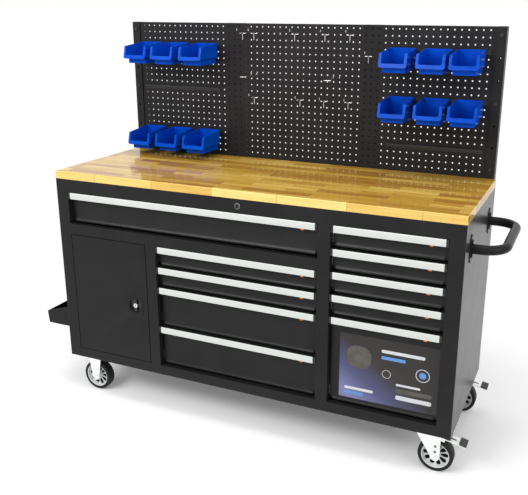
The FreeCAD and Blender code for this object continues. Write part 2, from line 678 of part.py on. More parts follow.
def pegboard_posts():
    """Two end posts with holes through them, and two wide posts behind the board."""
    half = END_POST_WIDTH / 2
    post = tube((-END_POST_X - half, -END_POST_X + half), (CABINET_DEPTH, POST_BACK),
                (TOP_Z - POST_DROP, BOARD_TOP))
    through = [rod("y", (-END_POST_X, post_hole_z(index)), POST_HOLE_RADIUS, (CABINET_DEPTH, POST_BACK))
               for index in range(POST_HOLES) if index % POST_HOLES_PER_BOLT]
    through += [rod("y", (-END_POST_X, post_hole_z(index)), BOLT_RADIUS, (CABINET_DEPTH, POST_BACK))
                for index in range(0, POST_HOLES, POST_HOLES_PER_BOLT)]
    wall_y = (CABINET_DEPTH, CABINET_DEPTH + POST_WALL)
    mounts = [rod("y", spot, BOLT_RADIUS, wall_y) for spot in post_bolts()]
    end_post = post.cut(through + mounts)
    half = MIDDLE_POST_WIDTH / 2
    centre = -MIDDLE_POST_SPACING / 2
    x = (centre - half, centre + half)
    upper = tube(x, (BOARD_Y + BOARD_FOLD, POST_BACK), (BOARD_LOW, BOARD_TOP))
    lower = tube(x, (CABINET_DEPTH, POST_BACK), (TOP_Z - POST_DROP, BOARD_LOW))
    middle_post = fused([upper, lower]).cut(mounts)
    return [end_post, mirrored(end_post), middle_post, mirrored(middle_post)]


def post_bolts():
    """Two bolts from inside the cabinet into each post."""
    middle = MIDDLE_POST_SPACING / 2 - POST_BOLT_SHIFT
    return [(x, z) for x in (-END_POST_X, -middle, middle, END_POST_X)
            for z in (TOP_Z - POST_DROP + POST_BOLT_LOW, DECK_Z - POST_BOLT_HIGH)]


def rail_x(side):
    """The left and right end of the rails on one side: -1 is the left side and 1 the right."""
    outer = BOARD_HALF - RAIL_END_GAP
    return sorted((side * outer, side * (outer - RAIL_LENGTH)))


def bin_rails():
    """Six folded rails: a plate on the board, a ledge, and the lip that the bins hang over."""
    back, front, sheet = BOARD_Y, BOARD_Y - RAIL_REACH, RAIL_SHEET
    outline = [(back, -RAIL_BELOW), (back, RAIL_LEDGE), (front + sheet, RAIL_LEDGE),
               (front + sheet, RAIL_LEDGE + RAIL_LIP), (front, RAIL_LEDGE + RAIL_LIP),
               (front, RAIL_LEDGE - sheet), (back - sheet, RAIL_LEDGE - sheet), (back - sheet, -RAIL_BELOW)]
    return [moved(prism("x", outline, rail_x(side)), z=row_z(row)) for side in (-1, 1) for row in RAIL_ROWS]


def round_below(shape, corner):
    """The shape with its lowest edges along Y rounded."""
    limit = shape.BoundBox.ZMin + corner
    edges = [edge for edge in shape.Edges if edge.BoundBox.ZMax < limit and edge.BoundBox.XLength < corner]
    return shape.makeFillet(corner, edges)


def bin_front(z):
    """Where a bin's leaning front stands at a height; the back is on y = 0 and the top at z = 0."""
    step = BIN_STEP_HEIGHT - BIN_HEIGHT
    return BIN_LEAN * (z - step) / (-BIN_FALL - step) - BIN_DEPTH


def bin_box(width, foot):
    """The outline of a bin above a foot, with its lower edges along Y rounded."""
    side = [(0, foot), (0, 0), (bin_front(-BIN_FALL), -BIN_FALL), (bin_front(foot), foot)]
    return round_below(prism("x", side, (-width / 2, width / 2)), BIN_CORNER)


def bin_outside():
    """A bin without its hollow: the box, the thick collar round its mouth and the narrower base."""
    step = BIN_STEP_HEIGHT - BIN_HEIGHT
    slab = [(bin_front(step), step), (bin_front(step) + BIN_COLLAR, step), (bin_front(0) + BIN_COLLAR, 0),
            (bin_front(0), 0)]
    collar = bin_box(BIN_WIDTH, step).common(prism("x", slab, (-BIN_WIDTH / 2, BIN_WIDTH / 2)))
    foot = step + BIN_COLLAR_PROUD
    base = block((-BIN_BASE_WIDTH / 2, BIN_BASE_WIDTH / 2), (BIN_SETBACK - BIN_DEPTH, 0), (-BIN_HEIGHT, foot))
    return fused([bin_box(BIN_BODY_WIDTH, foot), collar, base])


def bin_hollow():
    """The room in a bin: behind the collar, in the base and through the mouth."""
    wall, floor = BIN_WALL, BIN_STEP_HEIGHT - BIN_HEIGHT + BIN_COLLAR_PROUD + BIN_WALL
    half, base_half = BIN_BODY_WIDTH / 2 - wall, BIN_BASE_WIDTH / 2 - wall
    mouth_half = BIN_WIDTH / 2 - BIN_RIM
    side = [(-wall, floor), (-wall, wall), (bin_front(wall) + BIN_COLLAR, wall),
            (bin_front(floor) + BIN_COLLAR, floor)]
    room = prism("x", side, (-half, half))
    well = block((-base_half, base_half), (BIN_SETBACK - BIN_DEPTH + wall, -wall),
                 (-BIN_HEIGHT + wall, floor))
    mouth = block((-mouth_half, mouth_half), (-BIN_DEPTH, bin_front(0) + BIN_COLLAR),
                  (BIN_LIP_HEIGHT - BIN_HEIGHT, wall))
    return [room, well, round_below(mouth, BIN_MOUTH_CORNER)]


def storage_bin():
    """A bin with a low front; its back stands on y = 0 and its hook hangs from z = 0."""
    hook_x = (-BIN_HOOK_WIDTH / 2, BIN_HOOK_WIDTH / 2)
    hook_y = RAIL_SHEET + 2 * BIN_CLEARANCE + BIN_HOOK_SHEET
    bridge = block(hook_x, (-BIN_WALL, hook_y), (-BIN_HOOK_SHEET, 0))
    leg = block(hook_x, (hook_y - BIN_HOOK_SHEET, hook_y), (BIN_CLEARANCE - BIN_HOOK_SHEET - RAIL_LIP, 0))
    return fused([bin_outside().cut(bin_hollow()), bridge, leg])


def bin_row(side, level):
    """Three bins on a rail; the level counts a side's rails from the top."""
    middle = sum(rail_x(side)) / 2
    shape = storage_bin()
    back = BOARD_Y - RAIL_REACH - BIN_CLEARANCE
    top = row_z(RAIL_ROWS[level]) + RAIL_LEDGE + RAIL_LIP + BIN_HOOK_SHEET
    return [moved(shape, x=middle + place_x, y=back, z=top) for place_x in BIN_PLACES[side, level]]


def peg_hole(column, row):
    """Left, right and height of a hook whose wire lies on the floor of two neighbouring holes."""
    first = PEG_COLUMNS // 2 + column
    height = row_z(MIDDLE_ROW + row) - PEG_HOLE_RADIUS + HOOK_WIRE_RADIUS
    return column_x(first), column_x(first + 1), height


def single_hook(column, row):
    """A cross bar that two holes hold, with a stem down from it and one prong forward."""
    left, right, z = peg_hole(column, row)
    face, tail, middle = BOARD_Y - HOOK_WIRE_RADIUS, BOARD_Y + BOARD_SHEET + HOOK_TAIL, (left + right) / 2
    bar = wire_solid([vector(left, tail, z), vector(left, face, z), vector(right, face, z),
                      vector(right, tail, z)], HOOK_WIRE_RADIUS)
    end = vector(middle, face - HOOK_REACH, z + HOOK_RISE)
    prong = wire_solid([vector(middle, face, z - HOOK_STEM), vector(middle, face, z), end,
                        end + vector(0, 0, HOOK_TIP)], HOOK_WIRE_RADIUS)
    return fused([bar, prong])


def fork_hook(column, row):
    """A wire bent to two prongs that a cross bar joins at the front."""
    left, right, z = peg_hole(column, row)
    face, tail = BOARD_Y - HOOK_WIRE_RADIUS, BOARD_Y + BOARD_SHEET + HOOK_TAIL
    low = z - FORK_HOOK_DROP
    runs = [[vector(x, tail, z), vector(x, face, z), vector(x, face, low),
             vector(x, face - FORK_HOOK_REACH, low)] for x in (left, right)]
    return wire_solid(runs[0] + runs[1][::-1], HOOK_WIRE_RADIUS)


def peg_hooks():
    return [single_hook(*spot) for spot in HOOK_PLACES] + [fork_hook(*spot) for spot in FORK_HOOK_PLACES]


# Push handle and side tray

def handle_places():
    back = CABINET_DEPTH - HANDLE_BACK_GAP
    return back - HANDLE_SPAN, back


def handle_bolts():
    half = HANDLE_BOLT_SPACING / 2
    return [(y, HANDLE_Z + offset) for y in handle_places() for offset in (-half, half)]


def handle_path():
    """The centre line of the handle's tube: two legs and a grip, joined by quarter turns."""
    front, back = handle_places()
    radius, start, reach = HANDLE_BEND_RADIUS, HALF + HANDLE_PLATE, HALF + HANDLE_REACH - HANDLE_TUBE_RADIUS
    run, corner = reach - radius, radius * (1 - math.sqrt(0.5))
    points = [vector(x, y, HANDLE_Z) for x, y in
              ((start, front), (run, front), (reach - corner, front + corner), (reach, front + radius),
               (reach, back - radius), (reach - corner, back - corner), (run, back), (start, back))]
    edges = [Part.LineSegment(points[0], points[1]), Part.Arc(*points[1:4]),
             Part.LineSegment(points[3], points[4]), Part.Arc(*points[4:7]),
             Part.LineSegment(points[6], points[7])]
    return Part.Wire([edge.toShape() for edge in edges])


def handle_tube():
    path = handle_path()
    start = path.Vertexes[0].Point
    pipes = [path.makePipeShell([Part.Wire([Part.makeCircle(radius, start, vector(1, 0, 0))])], True, False)
             for radius in (HANDLE_TUBE_RADIUS, HANDLE_TUBE_RADIUS - HANDLE_TUBE_WALL)]
    return pipes[0].cut(pipes[1])


def handle_plate(y):
    """A plate with round ends under one leg of the handle."""
    x = (HALF, HALF + HANDLE_PLATE)
    radius = HANDLE_PLATE_WIDTH / 2
    levels = (HANDLE_Z - HANDLE_PLATE_HEIGHT / 2 + radius, HANDLE_Z + HANDLE_PLATE_HEIGHT / 2 - radius)
    plate = fused([block(x, (y - radius, y + radius), levels)]
                  + [rod("x", (y, z), radius, x) for z in levels])
    return plate.cut([rod("x", spot, BOLT_RADIUS, x) for spot in handle_bolts()])


def push_handle():
    return [handle_tube()] + [handle_plate(y) for y in handle_places()]


def tray_screws():
    ends = (TRAY_INSET + TRAY_SCREW_EDGE, CABINET_DEPTH - TRAY_INSET - TRAY_SCREW_EDGE)
    return [(y, TRAY_Z + TRAY_INNER_HEIGHT - TRAY_SCREW_DROP) for y in ends]


def side_tray():
    """An open trough on the left side, its ends cut down towards the outer wall."""
    y = (TRAY_INSET, CABINET_DEPTH - TRAY_INSET)
    edge, outer, inner = -HALF, TRAY_Z + TRAY_OUTER_HEIGHT, TRAY_Z + TRAY_INNER_HEIGHT
    solid = prism("y", [(edge, TRAY_Z), (edge, inner), (edge - TRAY_REACH, outer),
                        (edge - TRAY_FLOOR_REACH, TRAY_Z)], y)
    inside = prism("y", [(edge - SHEET, TRAY_Z + SHEET), (edge - SHEET, inner + SHEET),
                         (edge - TRAY_REACH + SHEET, inner + SHEET), (edge - TRAY_REACH + SHEET, outer),
                         (edge - TRAY_FLOOR_REACH + SHEET, TRAY_Z + SHEET)], (y[0] + SHEET, y[1] - SHEET))
    holes = [rod("x", spot, SCREW_RADIUS, (edge - SHEET, edge)) for spot in tray_screws()]
    return [solid.cut([inside] + holes)]


# Casters

def caster_places():
    """Centres of the four mounting plates: the left pair is rigid and the right pair swivels."""
    x = HALF - CASTER_END_GAP
    front = FRAME_DEPTH + CASTER_FRONT_GAP
    back = CABINET_DEPTH - front
    return {"left_front": (-x, front), "left_rear": (-x, back), "right_front": (x, front),
            "right_rear": (x, back)}


def plate_bolts():
    half_x = CASTER_PLATE_LENGTH / 2 - CASTER_BOLT_EDGE
    half_y = CASTER_PLATE_WIDTH / 2 - CASTER_BOLT_EDGE
    return [(x, y) for x in (-half_x, half_x) for y in (-half_y, half_y)]


def caster_bolts():
    return [(x + dx, y + dy) for x, y in caster_places().values() for dx, dy in plate_bolts()]


def fork_cheek(foot_x, top_x, top_z):
    """One cheek of a fork: wide at the top and round where it holds the axle."""
    radius = FORK_FOOT_RADIUS
    outline = [(top_x[0], top_z), (top_x[1], top_z), (foot_x + radius, WHEEL_RADIUS),
               (foot_x - radius, WHEEL_RADIUS)]
    cheek = fused([prism("y", outline, FORK_Y), rod("y", (foot_x, WHEEL_RADIUS), radius, FORK_Y)])
    return cheek.cut(rod("y", (foot_x, WHEEL_RADIUS), AXLE_RADIUS, FORK_Y))


def axle(foot_x):
    """An axle with a head outside each cheek."""
    centre, outer = (foot_x, WHEEL_RADIUS), FORK_Y[1]
    heads = [rod("y", centre, AXLE_HEAD_RADIUS, span) for span in ((-outer - AXLE_HEAD, -outer),
                                                                  (outer, outer + AXLE_HEAD))]
    return fused([rod("y", centre, AXLE_RADIUS, (-outer, outer))] + heads)


def caster_plate():
    half_x, half_y = CASTER_PLATE_LENGTH / 2, CASTER_PLATE_WIDTH / 2
    plate = block((-half_x, half_x), (-half_y, half_y), (PLATE_Z, BASE_Z))
    return plate.cut([rod("z", spot, BOLT_RADIUS, (PLATE_Z, BASE_Z)) for spot in plate_bolts()])


def rigid_fork():
    cheek = fork_cheek(0, (-FORK_TOP_WIDTH / 2, FORK_TOP_WIDTH / 2), PLATE_Z)
    return fused([caster_plate(), cheek, mirrored(cheek, "y")])


def swivel_head():
    """A plate with the upper race and the king pin whose head carries the turning fork."""
    head_top = CROWN_LOW - SWIVEL_GAP
    return fused([caster_plate(),
                  rod("z", (0, 0), RACE_RADIUS, (PLATE_Z - RACE_HEIGHT, PLATE_Z)),
                  rod("z", (0, 0), KING_PIN_RADIUS, (head_top, PLATE_Z)),
                  rod("z", (0, 0), KING_HEAD_RADIUS, (head_top - KING_HEAD, head_top))])


def caster_mounts():
    """What stays fixed of the casters: two rigid forks with their axles and two swivel heads."""
    shapes = []
    for name, (x, y) in caster_places().items():
        pieces = [rigid_fork(), axle(0)] if name.startswith("left") else [swivel_head()]
        shapes += [moved(piece, x=x, y=y) for piece in pieces]
    return shapes


def swivel_fork():
    """A fork that turns on the king pin, with its axle and the pedal's pin."""
    span = (-RACE_RADIUS, FORK_BACK)
    z = (CROWN_LOW, CROWN_TOP)
    crown = fused([block(span, (-FORK_Y[1], FORK_Y[1]), z), rod("z", (0, 0), RACE_RADIUS, z)])
    crown = crown.cut(rod("z", (0, 0), KING_PIN_RADIUS + TURN_CLEARANCE, z))
    cheek = fork_cheek(SWIVEL_OFFSET, span, CROWN_LOW)
    pin = rod("y", PEDAL_PIVOT, PEDAL_PIN_RADIUS, (-FORK_Y[1], FORK_Y[1]))
    return [fused([crown, cheek, mirrored(cheek, "y")]).cut(pin), pin, axle(SWIVEL_OFFSET)]


def pedal_shoe(half, top):
    """The shoe over the tyre, hollowed so that it just clears the tread when the pedal is down."""
    x, z = PEDAL_PIVOT
    start = x + PEDAL_PIN_RADIUS + PEDAL_SLEEVE
    wheel_space = rod("y", (SWIVEL_OFFSET, WHEEL_RADIUS), WHEEL_RADIUS + SHOE_GAP, (-half, half))
    wheel_space.rotate(vector(x, 0, z), vector(0, 1, 0), -PEDAL_TURN)
    shoe = block((start, start + SHOE_LENGTH), (-half, half), (WHEEL_RADIUS * 2 - SHOE_LENGTH, top))
    return shoe.cut(wheel_space)


def brake_pedal():
    """A stamped pedal on a cross pin, with a shoe over the tyre and a pad for the foot."""
    half = FORK_Y[0] - BEARING_GAP
    x, z = PEDAL_PIVOT
    tip = x + PEDAL_REACH

    def height(at):
        return z - PEDAL_FALL * (at - x) / PEDAL_REACH

    def slab(start, end, low, high):
        return prism("y", [(start, height(start) + low), (end, height(end) + low),
                           (end, height(end) + high), (start, height(start) + high)], (-half, half))

    body = fused([slab(x, tip, 0, PEDAL_SHEET),
                  slab(tip - PEDAL_PAD_LENGTH, tip, PEDAL_SHEET, PEDAL_SHEET + PEDAL_PAD),
                  rod("y", PEDAL_PIVOT, PEDAL_PIN_RADIUS + PEDAL_SLEEVE, (-half, half)),
                  pedal_shoe(half, height(x + SHOE_LENGTH))])
    return [body.cut(rod("y", PEDAL_PIVOT, PEDAL_PIN_RADIUS + TURN_CLEARANCE, (-half, half)))]


def rim_window():
    """One opening between two spokes, to the right of the hub."""
    slope = math.tan(math.pi / SPOKES)
    low, high = HUB_RADIUS + WINDOW_EDGE, WHEEL_RADIUS - TYRE_DEPTH - RIM_WALL - WINDOW_EDGE
    at_low, at_high = slope * low - SPOKE_WIDTH / 2, slope * high - SPOKE_WIDTH / 2
    return prism("y", [(low, -at_low), (high, -at_high), (high, at_high), (low, at_low)],
                 (-WEB_THICKNESS / 2, WEB_THICKNESS / 2))


def wheel_rim():
    """A rim with windows in its web and a bore for the bearing, centred on the origin."""
    bed, half, centre = WHEEL_RADIUS - TYRE_DEPTH, WHEEL_WIDTH / 2, (0, 0)
    span = (RIM_INSET - half, half - RIM_INSET)
    ring = rod("y", centre, bed, span).cut(rod("y", centre, bed - RIM_WALL, span))
    web = rod("y", centre, bed - RIM_WALL, (-WEB_THICKNESS / 2, WEB_THICKNESS / 2))
    windows = [rim_window().rotated(vector(0, 0, 0), vector(0, 1, 0), index * 360.0 / SPOKES)
               for index in range(SPOKES)]
    hub = rod("y", centre, HUB_RADIUS, (-half, half))
    return fused([ring, web.cut(windows), hub]).cut(rod("y", centre, BEARING_RADIUS, (-half, half)))


def wheel():
    """A tyre on a rim that turns on a bearing sleeve, centred on the origin."""
    half, centre = WHEEL_WIDTH / 2, (0, 0)
    tread = rod("y", centre, WHEEL_RADIUS, (-half, half))
    tread = tread.makeFillet(TREAD_ROUND, [edge for edge in tread.Edges if edge.isClosed()])
    tyre = tread.cut(rod("y", centre, WHEEL_RADIUS - TYRE_DEPTH, (-half, half)))
    span = (BEARING_GAP - FORK_Y[0], FORK_Y[0] - BEARING_GAP)
    sleeve = rod("y", centre, BEARING_RADIUS, span).cut(rod("y", centre, AXLE_RADIUS + TURN_CLEARANCE, span))
    return [tyre, wheel_rim(), sleeve]


# Fasteners

def worktop_screws():
    return [(x, y) for x in brace_places()
            for y in (FRAME_DEPTH + WORKTOP_SCREW_EDGE, INNER_BACK - WORKTOP_SCREW_EDGE)]


def fasteners():
    """Every bolt and screw of the cabinet, and the door's two hinge pins."""
    side, back = HALF + HANDLE_PLATE, INNER_BACK
    shapes = [bolt("x", spot, side, HALF - BOLT_REACH) for spot in handle_bolts()]
    shapes += [bolt("z", spot, PLATE_Z, BASE_TOP + BOLT_REACH) for spot in caster_bolts()]
    shapes += [bolt("y", spot, back, CABINET_DEPTH + BOLT_REACH) for spot in post_bolts()]
    shapes += [bolt("y", (x, post_hole_z(index)), CABINET_DEPTH, POST_BACK) for x in (-END_POST_X, END_POST_X)
               for index in range(0, POST_HOLES, POST_HOLES_PER_BOLT)]
    shapes += [screw("x", spot, -HALF - SHEET, -HALF + SCREW_REACH) for spot in tray_screws()]
    shapes += [screw("z", spot, DECK_Z - SHEET, DECK_Z + WORKTOP_SCREW_DEPTH) for spot in worktop_screws()]
    return shapes + hinge_pins()


def fixed_nodes():
    """The nodes that carry the rest, each a list of solids in the floor frame."""
    return {"worktop": worktop(), "front_frame": front_frame(), "side_panels": side_panels(),
            "back_panel": back_panel(), "base_pan": base_pan(), "inner_panels": inner_panels(),
            "slide_rails": slide_rails(), "push_handle": push_handle(), "side_tray": side_tray(),
            "pegboard": pegboard(), "pegboard_posts": pegboard_posts(), "bin_rails": bin_rails(),
            "peg_hooks": peg_hooks(), "caster_mounts": caster_mounts(), "fasteners": fasteners(),
            "bins_left_top": bin_row(-1, 0), "bins_left_bottom": bin_row(-1, 2),
            "bins_right_top": bin_row(1, 0), "bins_right_middle": bin_row(1, 1)}


def moving_nodes():
    """The door, the locks, the drawers and the turning parts of the casters."""
    nodes = {"door": door(), "door_latch": door_latch(), "cabinet_lock": cabinet_lock()}
    for name, left, right, bottom, top in drawer_cells():
        nodes[name] = drawer(left, right, bottom, top)
        nodes[f"{name}_pull"] = pull(left, right, top)
        nodes[f"{name}_catch"] = catch(right, top)
    for name, (x, y) in caster_places().items():
        trail = SWIVEL_OFFSET if name.startswith("right") else 0.0
        nodes[f"wheel_{name}"] = [moved(piece, x + trail, y, WHEEL_RADIUS) for piece in wheel()]
        if trail:
            nodes[f"swivel_fork_{name}"] = [moved(piece, x, y) for piece in swivel_fork()]
            nodes[f"brake_pedal_{name}"] = [moved(piece, x, y) for piece in brake_pedal()]
    return nodes


def save(name, solids):
    """Write one node, shifted so that the origin is the middle of the whole object's underside."""
    shape = solids[0] if len(solids) == 1 else Part.makeCompound(solids)
    moved(shape, x=-ORIGIN_X, y=-ORIGIN_Y).exportStep(f"parts/{name}.step")


def main():
    os.makedirs("parts", exist_ok=True)
    for name, solids in {**fixed_nodes(), **moving_nodes()}.items():
        save(name, solids)


main()
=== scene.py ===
import bpy
import bmesh
import json
import math
from mathutils import Matrix, Vector


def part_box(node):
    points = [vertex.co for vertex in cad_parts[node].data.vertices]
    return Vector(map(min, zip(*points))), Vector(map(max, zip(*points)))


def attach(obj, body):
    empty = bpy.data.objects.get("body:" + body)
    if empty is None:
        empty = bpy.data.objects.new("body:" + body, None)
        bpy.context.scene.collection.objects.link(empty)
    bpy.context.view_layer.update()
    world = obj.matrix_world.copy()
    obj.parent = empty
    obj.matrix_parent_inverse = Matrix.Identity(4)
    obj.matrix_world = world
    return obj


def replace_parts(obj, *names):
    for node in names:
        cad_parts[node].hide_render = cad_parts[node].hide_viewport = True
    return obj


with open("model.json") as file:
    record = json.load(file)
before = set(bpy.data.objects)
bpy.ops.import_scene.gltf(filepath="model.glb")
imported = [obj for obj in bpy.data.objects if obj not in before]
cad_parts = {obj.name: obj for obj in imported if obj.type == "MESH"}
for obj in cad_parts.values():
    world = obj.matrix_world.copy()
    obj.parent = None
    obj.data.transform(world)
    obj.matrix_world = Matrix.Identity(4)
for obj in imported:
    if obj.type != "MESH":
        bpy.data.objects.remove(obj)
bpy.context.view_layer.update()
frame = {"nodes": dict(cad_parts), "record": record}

# A rolling tool cabinet with a wooden worktop and a pegboard wall. Sizes are in
# metres and angles in radians unless a name says otherwise. X runs along the
# front, Y from the front to the back, Z up from the floor.

MM = 0.001
NODES = frame["nodes"]
BODIES = frame["record"]["behaviour"]["bodies"]
BODY_OF = {node: body for body, nodes in BODIES.items() for node in nodes}
DRAWERS = (["wide_drawer"] + [f"centre_drawer_{n}" for n in range(1, 5)]
           + [f"right_drawer_{n}" for n in range(1, 6)])
BIN_ROWS = ("bins_left_top", "bins_left_bottom", "bins_right_top", "bins_right_middle")
CASTERS = ("left_front", "left_rear", "right_front", "right_rear")
BRAKED_CASTERS = ("right_front", "right_rear")

# Seeing: the picture is PICTURE_WIDTH pixels wide, and the lens is given in those pixels
PICTURE_WIDTH = 528
LENS_PIXELS = 732.92
PICTURE_MIDDLE = (264.0, 247.5)
LENS_AXIS = (285.26, 237.43)
CAMERA_PLACE = Vector((1.1351, -2.4794, 1.5372))
CAMERA_YAW = -0.4118
CAMERA_PITCH = 0.3022
CAMERA_ROLL = 0.0041
SENSOR = 36.0

# Edges and meshes; NEAR_AXIS stands for nought in a turned profile, and POLE_WELD then closes
# the pole
WELD = 0.00001
SPOKE_WELD = 10 * WELD
NEAR_AXIS = 0.0001
POLE_WELD = 3 * NEAR_AXIS
ALONG_X = Vector((1, 0, 0))
ALONG_Y = Vector((0, 1, 0))
ALONG_Z = Vector((0, 0, 1))
QUARTER_TURN = math.radians(90)
EDGE_ANGLE = math.radians(35)
SMOOTH_ANGLE = math.radians(30)
FLAT_ANGLE = math.radians(0.5)
EDGE_SEGMENTS = 2
END_SEGMENTS = 5
CORNER_SEGMENTS = 6
SPIN_STEPS = 60
DRUM_STEPS = 32
RIVET_STEPS = 24
FOLD_ROUND = 0.8 * MM
THIN_ROUND = FOLD_ROUND / 2
FRONT_ROUND = 1.8 * MM
HOOK_ROUND = 0.6 * MM
MOULD_ROUND = 1.0 * MM
RIM_ROUND = MOULD_ROUND / 2
FINE_ROUND = MOULD_ROUND / 3

# Wheels; the sidewall's groove starts, is deep and ends at these shares of the tyre's depth
TYRE_DEPTH = 13 * MM
SIDEWALL_ROUND = 5 * MM
SHOULDER_STEPS = 4
SHOULDER_DEGREES = 22.5
GROOVE = 0.6 * MM
GROOVE_SHARES = (0.62, 0.70, 0.80)
RIM_WALL = 3.2 * MM
RIM_INSET = 1.2 * MM
RIM_SLOPE = (1 * MM, 3 * MM)
HUB_RADIUS = 15 * MM
HUB_OVERLAP = 1 * MM
BORE_RADIUS = 9 * MM
WEB = 11 * MM
WEB_CORE = 4 * MM
WINDOWS = 10
WINDOW_STEPS = 6
WINDOW_LENGTH = 0.90
WINDOW_WIDTH = 0.78
TYRE_WIDTH = 38 * MM
AXLE_RADIUS = 6.05 * MM

# Brake pedals and forks
PEDAL_SLEEVE = 7 * MM
PEDAL_REACH = 94 * MM
PEDAL_FALL = 20 * MM
PEDAL_SHEET = 3 * MM
PEDAL_PAD = 24 * MM
PAD_HEIGHT = 5 * MM
PAD_WRAP = 0.6 * MM
PAD_RIBS = 6
PAD_RIB = 1.2 * MM
RIB_SHARE = (0.2, 0.8)
PEDAL_SLOT = (34 * MM, 58 * MM, 7 * MM)
RIVETS = (18 * MM, 40 * MM)
RIVET_RADIUS = 5 * MM
RIVET_HEIGHT = 1.8 * MM
RIVET_SUNK = 1 * MM
RIVET_CROWN = (0.6, 0.4)
CHEEK_FACE = 26 * MM

# Latch of the door; its disc lies between two depths behind the grip's face
LATCH_GRIP = 13 * MM
LATCH_END = 0.4 * LATCH_GRIP
LATCH_DISC = (8.2 * MM, 10.7 * MM)
LATCH_RIM = 2.5 * MM
LATCH_LEDGE = 1.5 * MM
LATCH_MARGIN = 3 * MM
LATCH_SHAFT = 6 * MM
LATCH_TONGUE = 20 * MM
LATCH_TONGUE_SHEET = 2.5 * MM
BARREL_RADIUS = 9 * MM
BARREL_LENGTH = 9 * MM
BARREL_PROUD = 0.8 * MM
KEY_SLOT = (2 * MM, 10 * MM, 2.5 * MM)

# Lock of the cabinet
LOCK_FLANGE = 11.5 * MM
LOCK_BARREL = 9.5 * MM
LOCK_CORE = 8 * MM
LOCK_EDGE = 1.2 * MM
LOCK_PROUD = 3.7 * MM
LOCK_SUNK = 0.8 * MM
LOCK_CAM_SHEET = 2 * MM
LOCK_CAM_WIDTH = 14 * MM

# Textures of the finishes: a grain is its lumps per metre and its detail, a relief is its
# depth and its strength, and a spread says where the darker and the lighter colour are full
GRAIN_ROUGHNESS = 0.55
SOFT_SPREAD = (0.35, 0.65)
WIDE_SPREAD = (0.30, 0.70)
PAINT_CLOUDS = (9.0, 3.0)
PAINT_PEEL = (900.0, 2.0)
PEEL_RELIEF = (0.06 * MM, 0.5)
PLATE_CLOUDS = (60.0, 5.0)
PLATE_GRAIN = (700.0, 2.0)
PLATE_RELIEF = (0.03 * MM, 0.4)
DRAWN_LINES = (60.0, 4.0)
DRAWN_STRETCH = (0.4, 30.0, 30.0)
DRAWN_RELIEF = (0.02 * MM, 0.5)
DRAWN_ROUGHNESS = (0.36, 0.48)
DRAWN_METALLIC = 0.35
MOULD_CLOUDS = (22.0, 3.0)
MOULD_GRAIN = (260.0, 3.0)
MOULD_RELIEF = (0.08 * MM, 0.35)
MOULD_DRIFT = (-0.04, 0.06)
FILM_GRAIN = (120.0, 2.0)
FILM_RELIEF = (0.05 * MM, 0.2)
FILM_ROUGHNESS = 0.30
FILM_SPECULAR = 0.22
FILM_ACROSS = (0.60, 0.0)
FILM_UPWARDS = (0.50, -0.1)
BLACK = (0.0, 0.0, 0.0, 1.0)
HALF_GREY = (0.5, 0.5, 0.5, 1.0)
WHITE = (1.0, 1.0, 1.0, 1.0)

# Wood: a stave's length and height, how far the rows are shifted, the tones of the top, the
# paler tones of the front edge, and the shares of stave and fibres in the tone
STAVE = (0.25, 0.0385)
STAVE_OFFSET = 0.41
WOOD_TONES = ((0.16, (0.22, 0.080, 0.007)), (0.38, (0.38, 0.180, 0.019)),
              (0.60, (0.52, 0.295, 0.034)), (0.84, (0.70, 0.465, 0.095)))
EDGE_TONES = ((0.20, (0.62, 0.360, 0.062)), (0.50, (0.76, 0.500, 0.120)),
              (0.80, (0.88, 0.650, 0.210)))
EDGE_DEPTH = 3 * MM
STAVE_SHARE = 0.46
FIBRE_SHARE = 0.86
TONE_SHIFT = 0.08
FIBRES = {"Scale": 1.6, "Detail": 7.0, "Roughness": 0.68, "Distortion": 0.6}
FIBRE_STRETCH = (2.6, 40.0, 40.0)
FIBRE_JUMP = (3.0, 7.0, 5.0)
GLUE_LINE = 0.8 * MM
GLUE_TONE = (0.55, 0.42, 0.30, 1.0)
WOOD_OIL = {"Specular IOR Level": 0.1, "Coat Weight": 0.7, "Coat Roughness": 0.09}
WOOD_ROUGHNESS = (0.30, 0.44)
WOOD_RELIEF = (0.15 * MM, 0.4)

# Pulls
PULL_CAP = 9 * MM
PULL_WALL = 2 * MM
PULL_LIP_DEPTH = 11 * MM
PULL_HOOK = 12 * MM
PULL_TONES = ((0.61, 0.64, 0.61), (0.69, 0.72, 0.69))
# The grip plate's bulge: depths behind its foremost line at drops below its top, in
# millimetres
PULL_FACE = ((1.1, 0.0), (0.5, 1.5), (0.1, 5.0), (0.0, 10.0), (0.3, 19.0), (1.2, 24.5))
CATCH_SLOT = 3.6 * MM
CATCH_TRAVEL = 8 * MM

# Label on the lowest drawer of the right column; a bar is its finish, its reach along X, its
# foot and its height, and a ring its finish, its middle, its outer and its inner radius, all
# from the label's lower left corner
LABEL_X = (0.3805, 0.7300)
LABEL_Z = (0.2255, 0.4710)
LABEL_SHEET = 0.3 * MM
LABEL_CORNER = 3 * MM
PRINT_SHEET = 0.15 * MM
BAR_CORNER = 0.45
LABEL_DRAWER = "right_drawer_5"
RIDGE_PROUD = 6 * MM
LABEL_BARS = (("print_white", (0.150, 0.300), 0.196, 0.012),
              ("print_blue", (0.150, 0.235), 0.172, 0.012),
              ("print_grey", (0.025, 0.115), 0.120, 0.085),
              ("print_white", (0.020, 0.125), 0.034, 0.010),
              ("print_blue", (0.020, 0.090), 0.016, 0.010),
              ("print_white", (0.205, 0.330), 0.030, 0.016),
              ("print_grey", (0.205, 0.330), 0.056, 0.016),
              ("print_white", (0.205, 0.290), 0.082, 0.008))
LABEL_RINGS = (("print_white", 0.170, 0.118, 0.0155, 0.0140),
               ("print_white", 0.295, 0.138, 0.0240, 0.0215),
               ("print_blue", 0.295, 0.138, 0.0120, NEAR_AXIS))
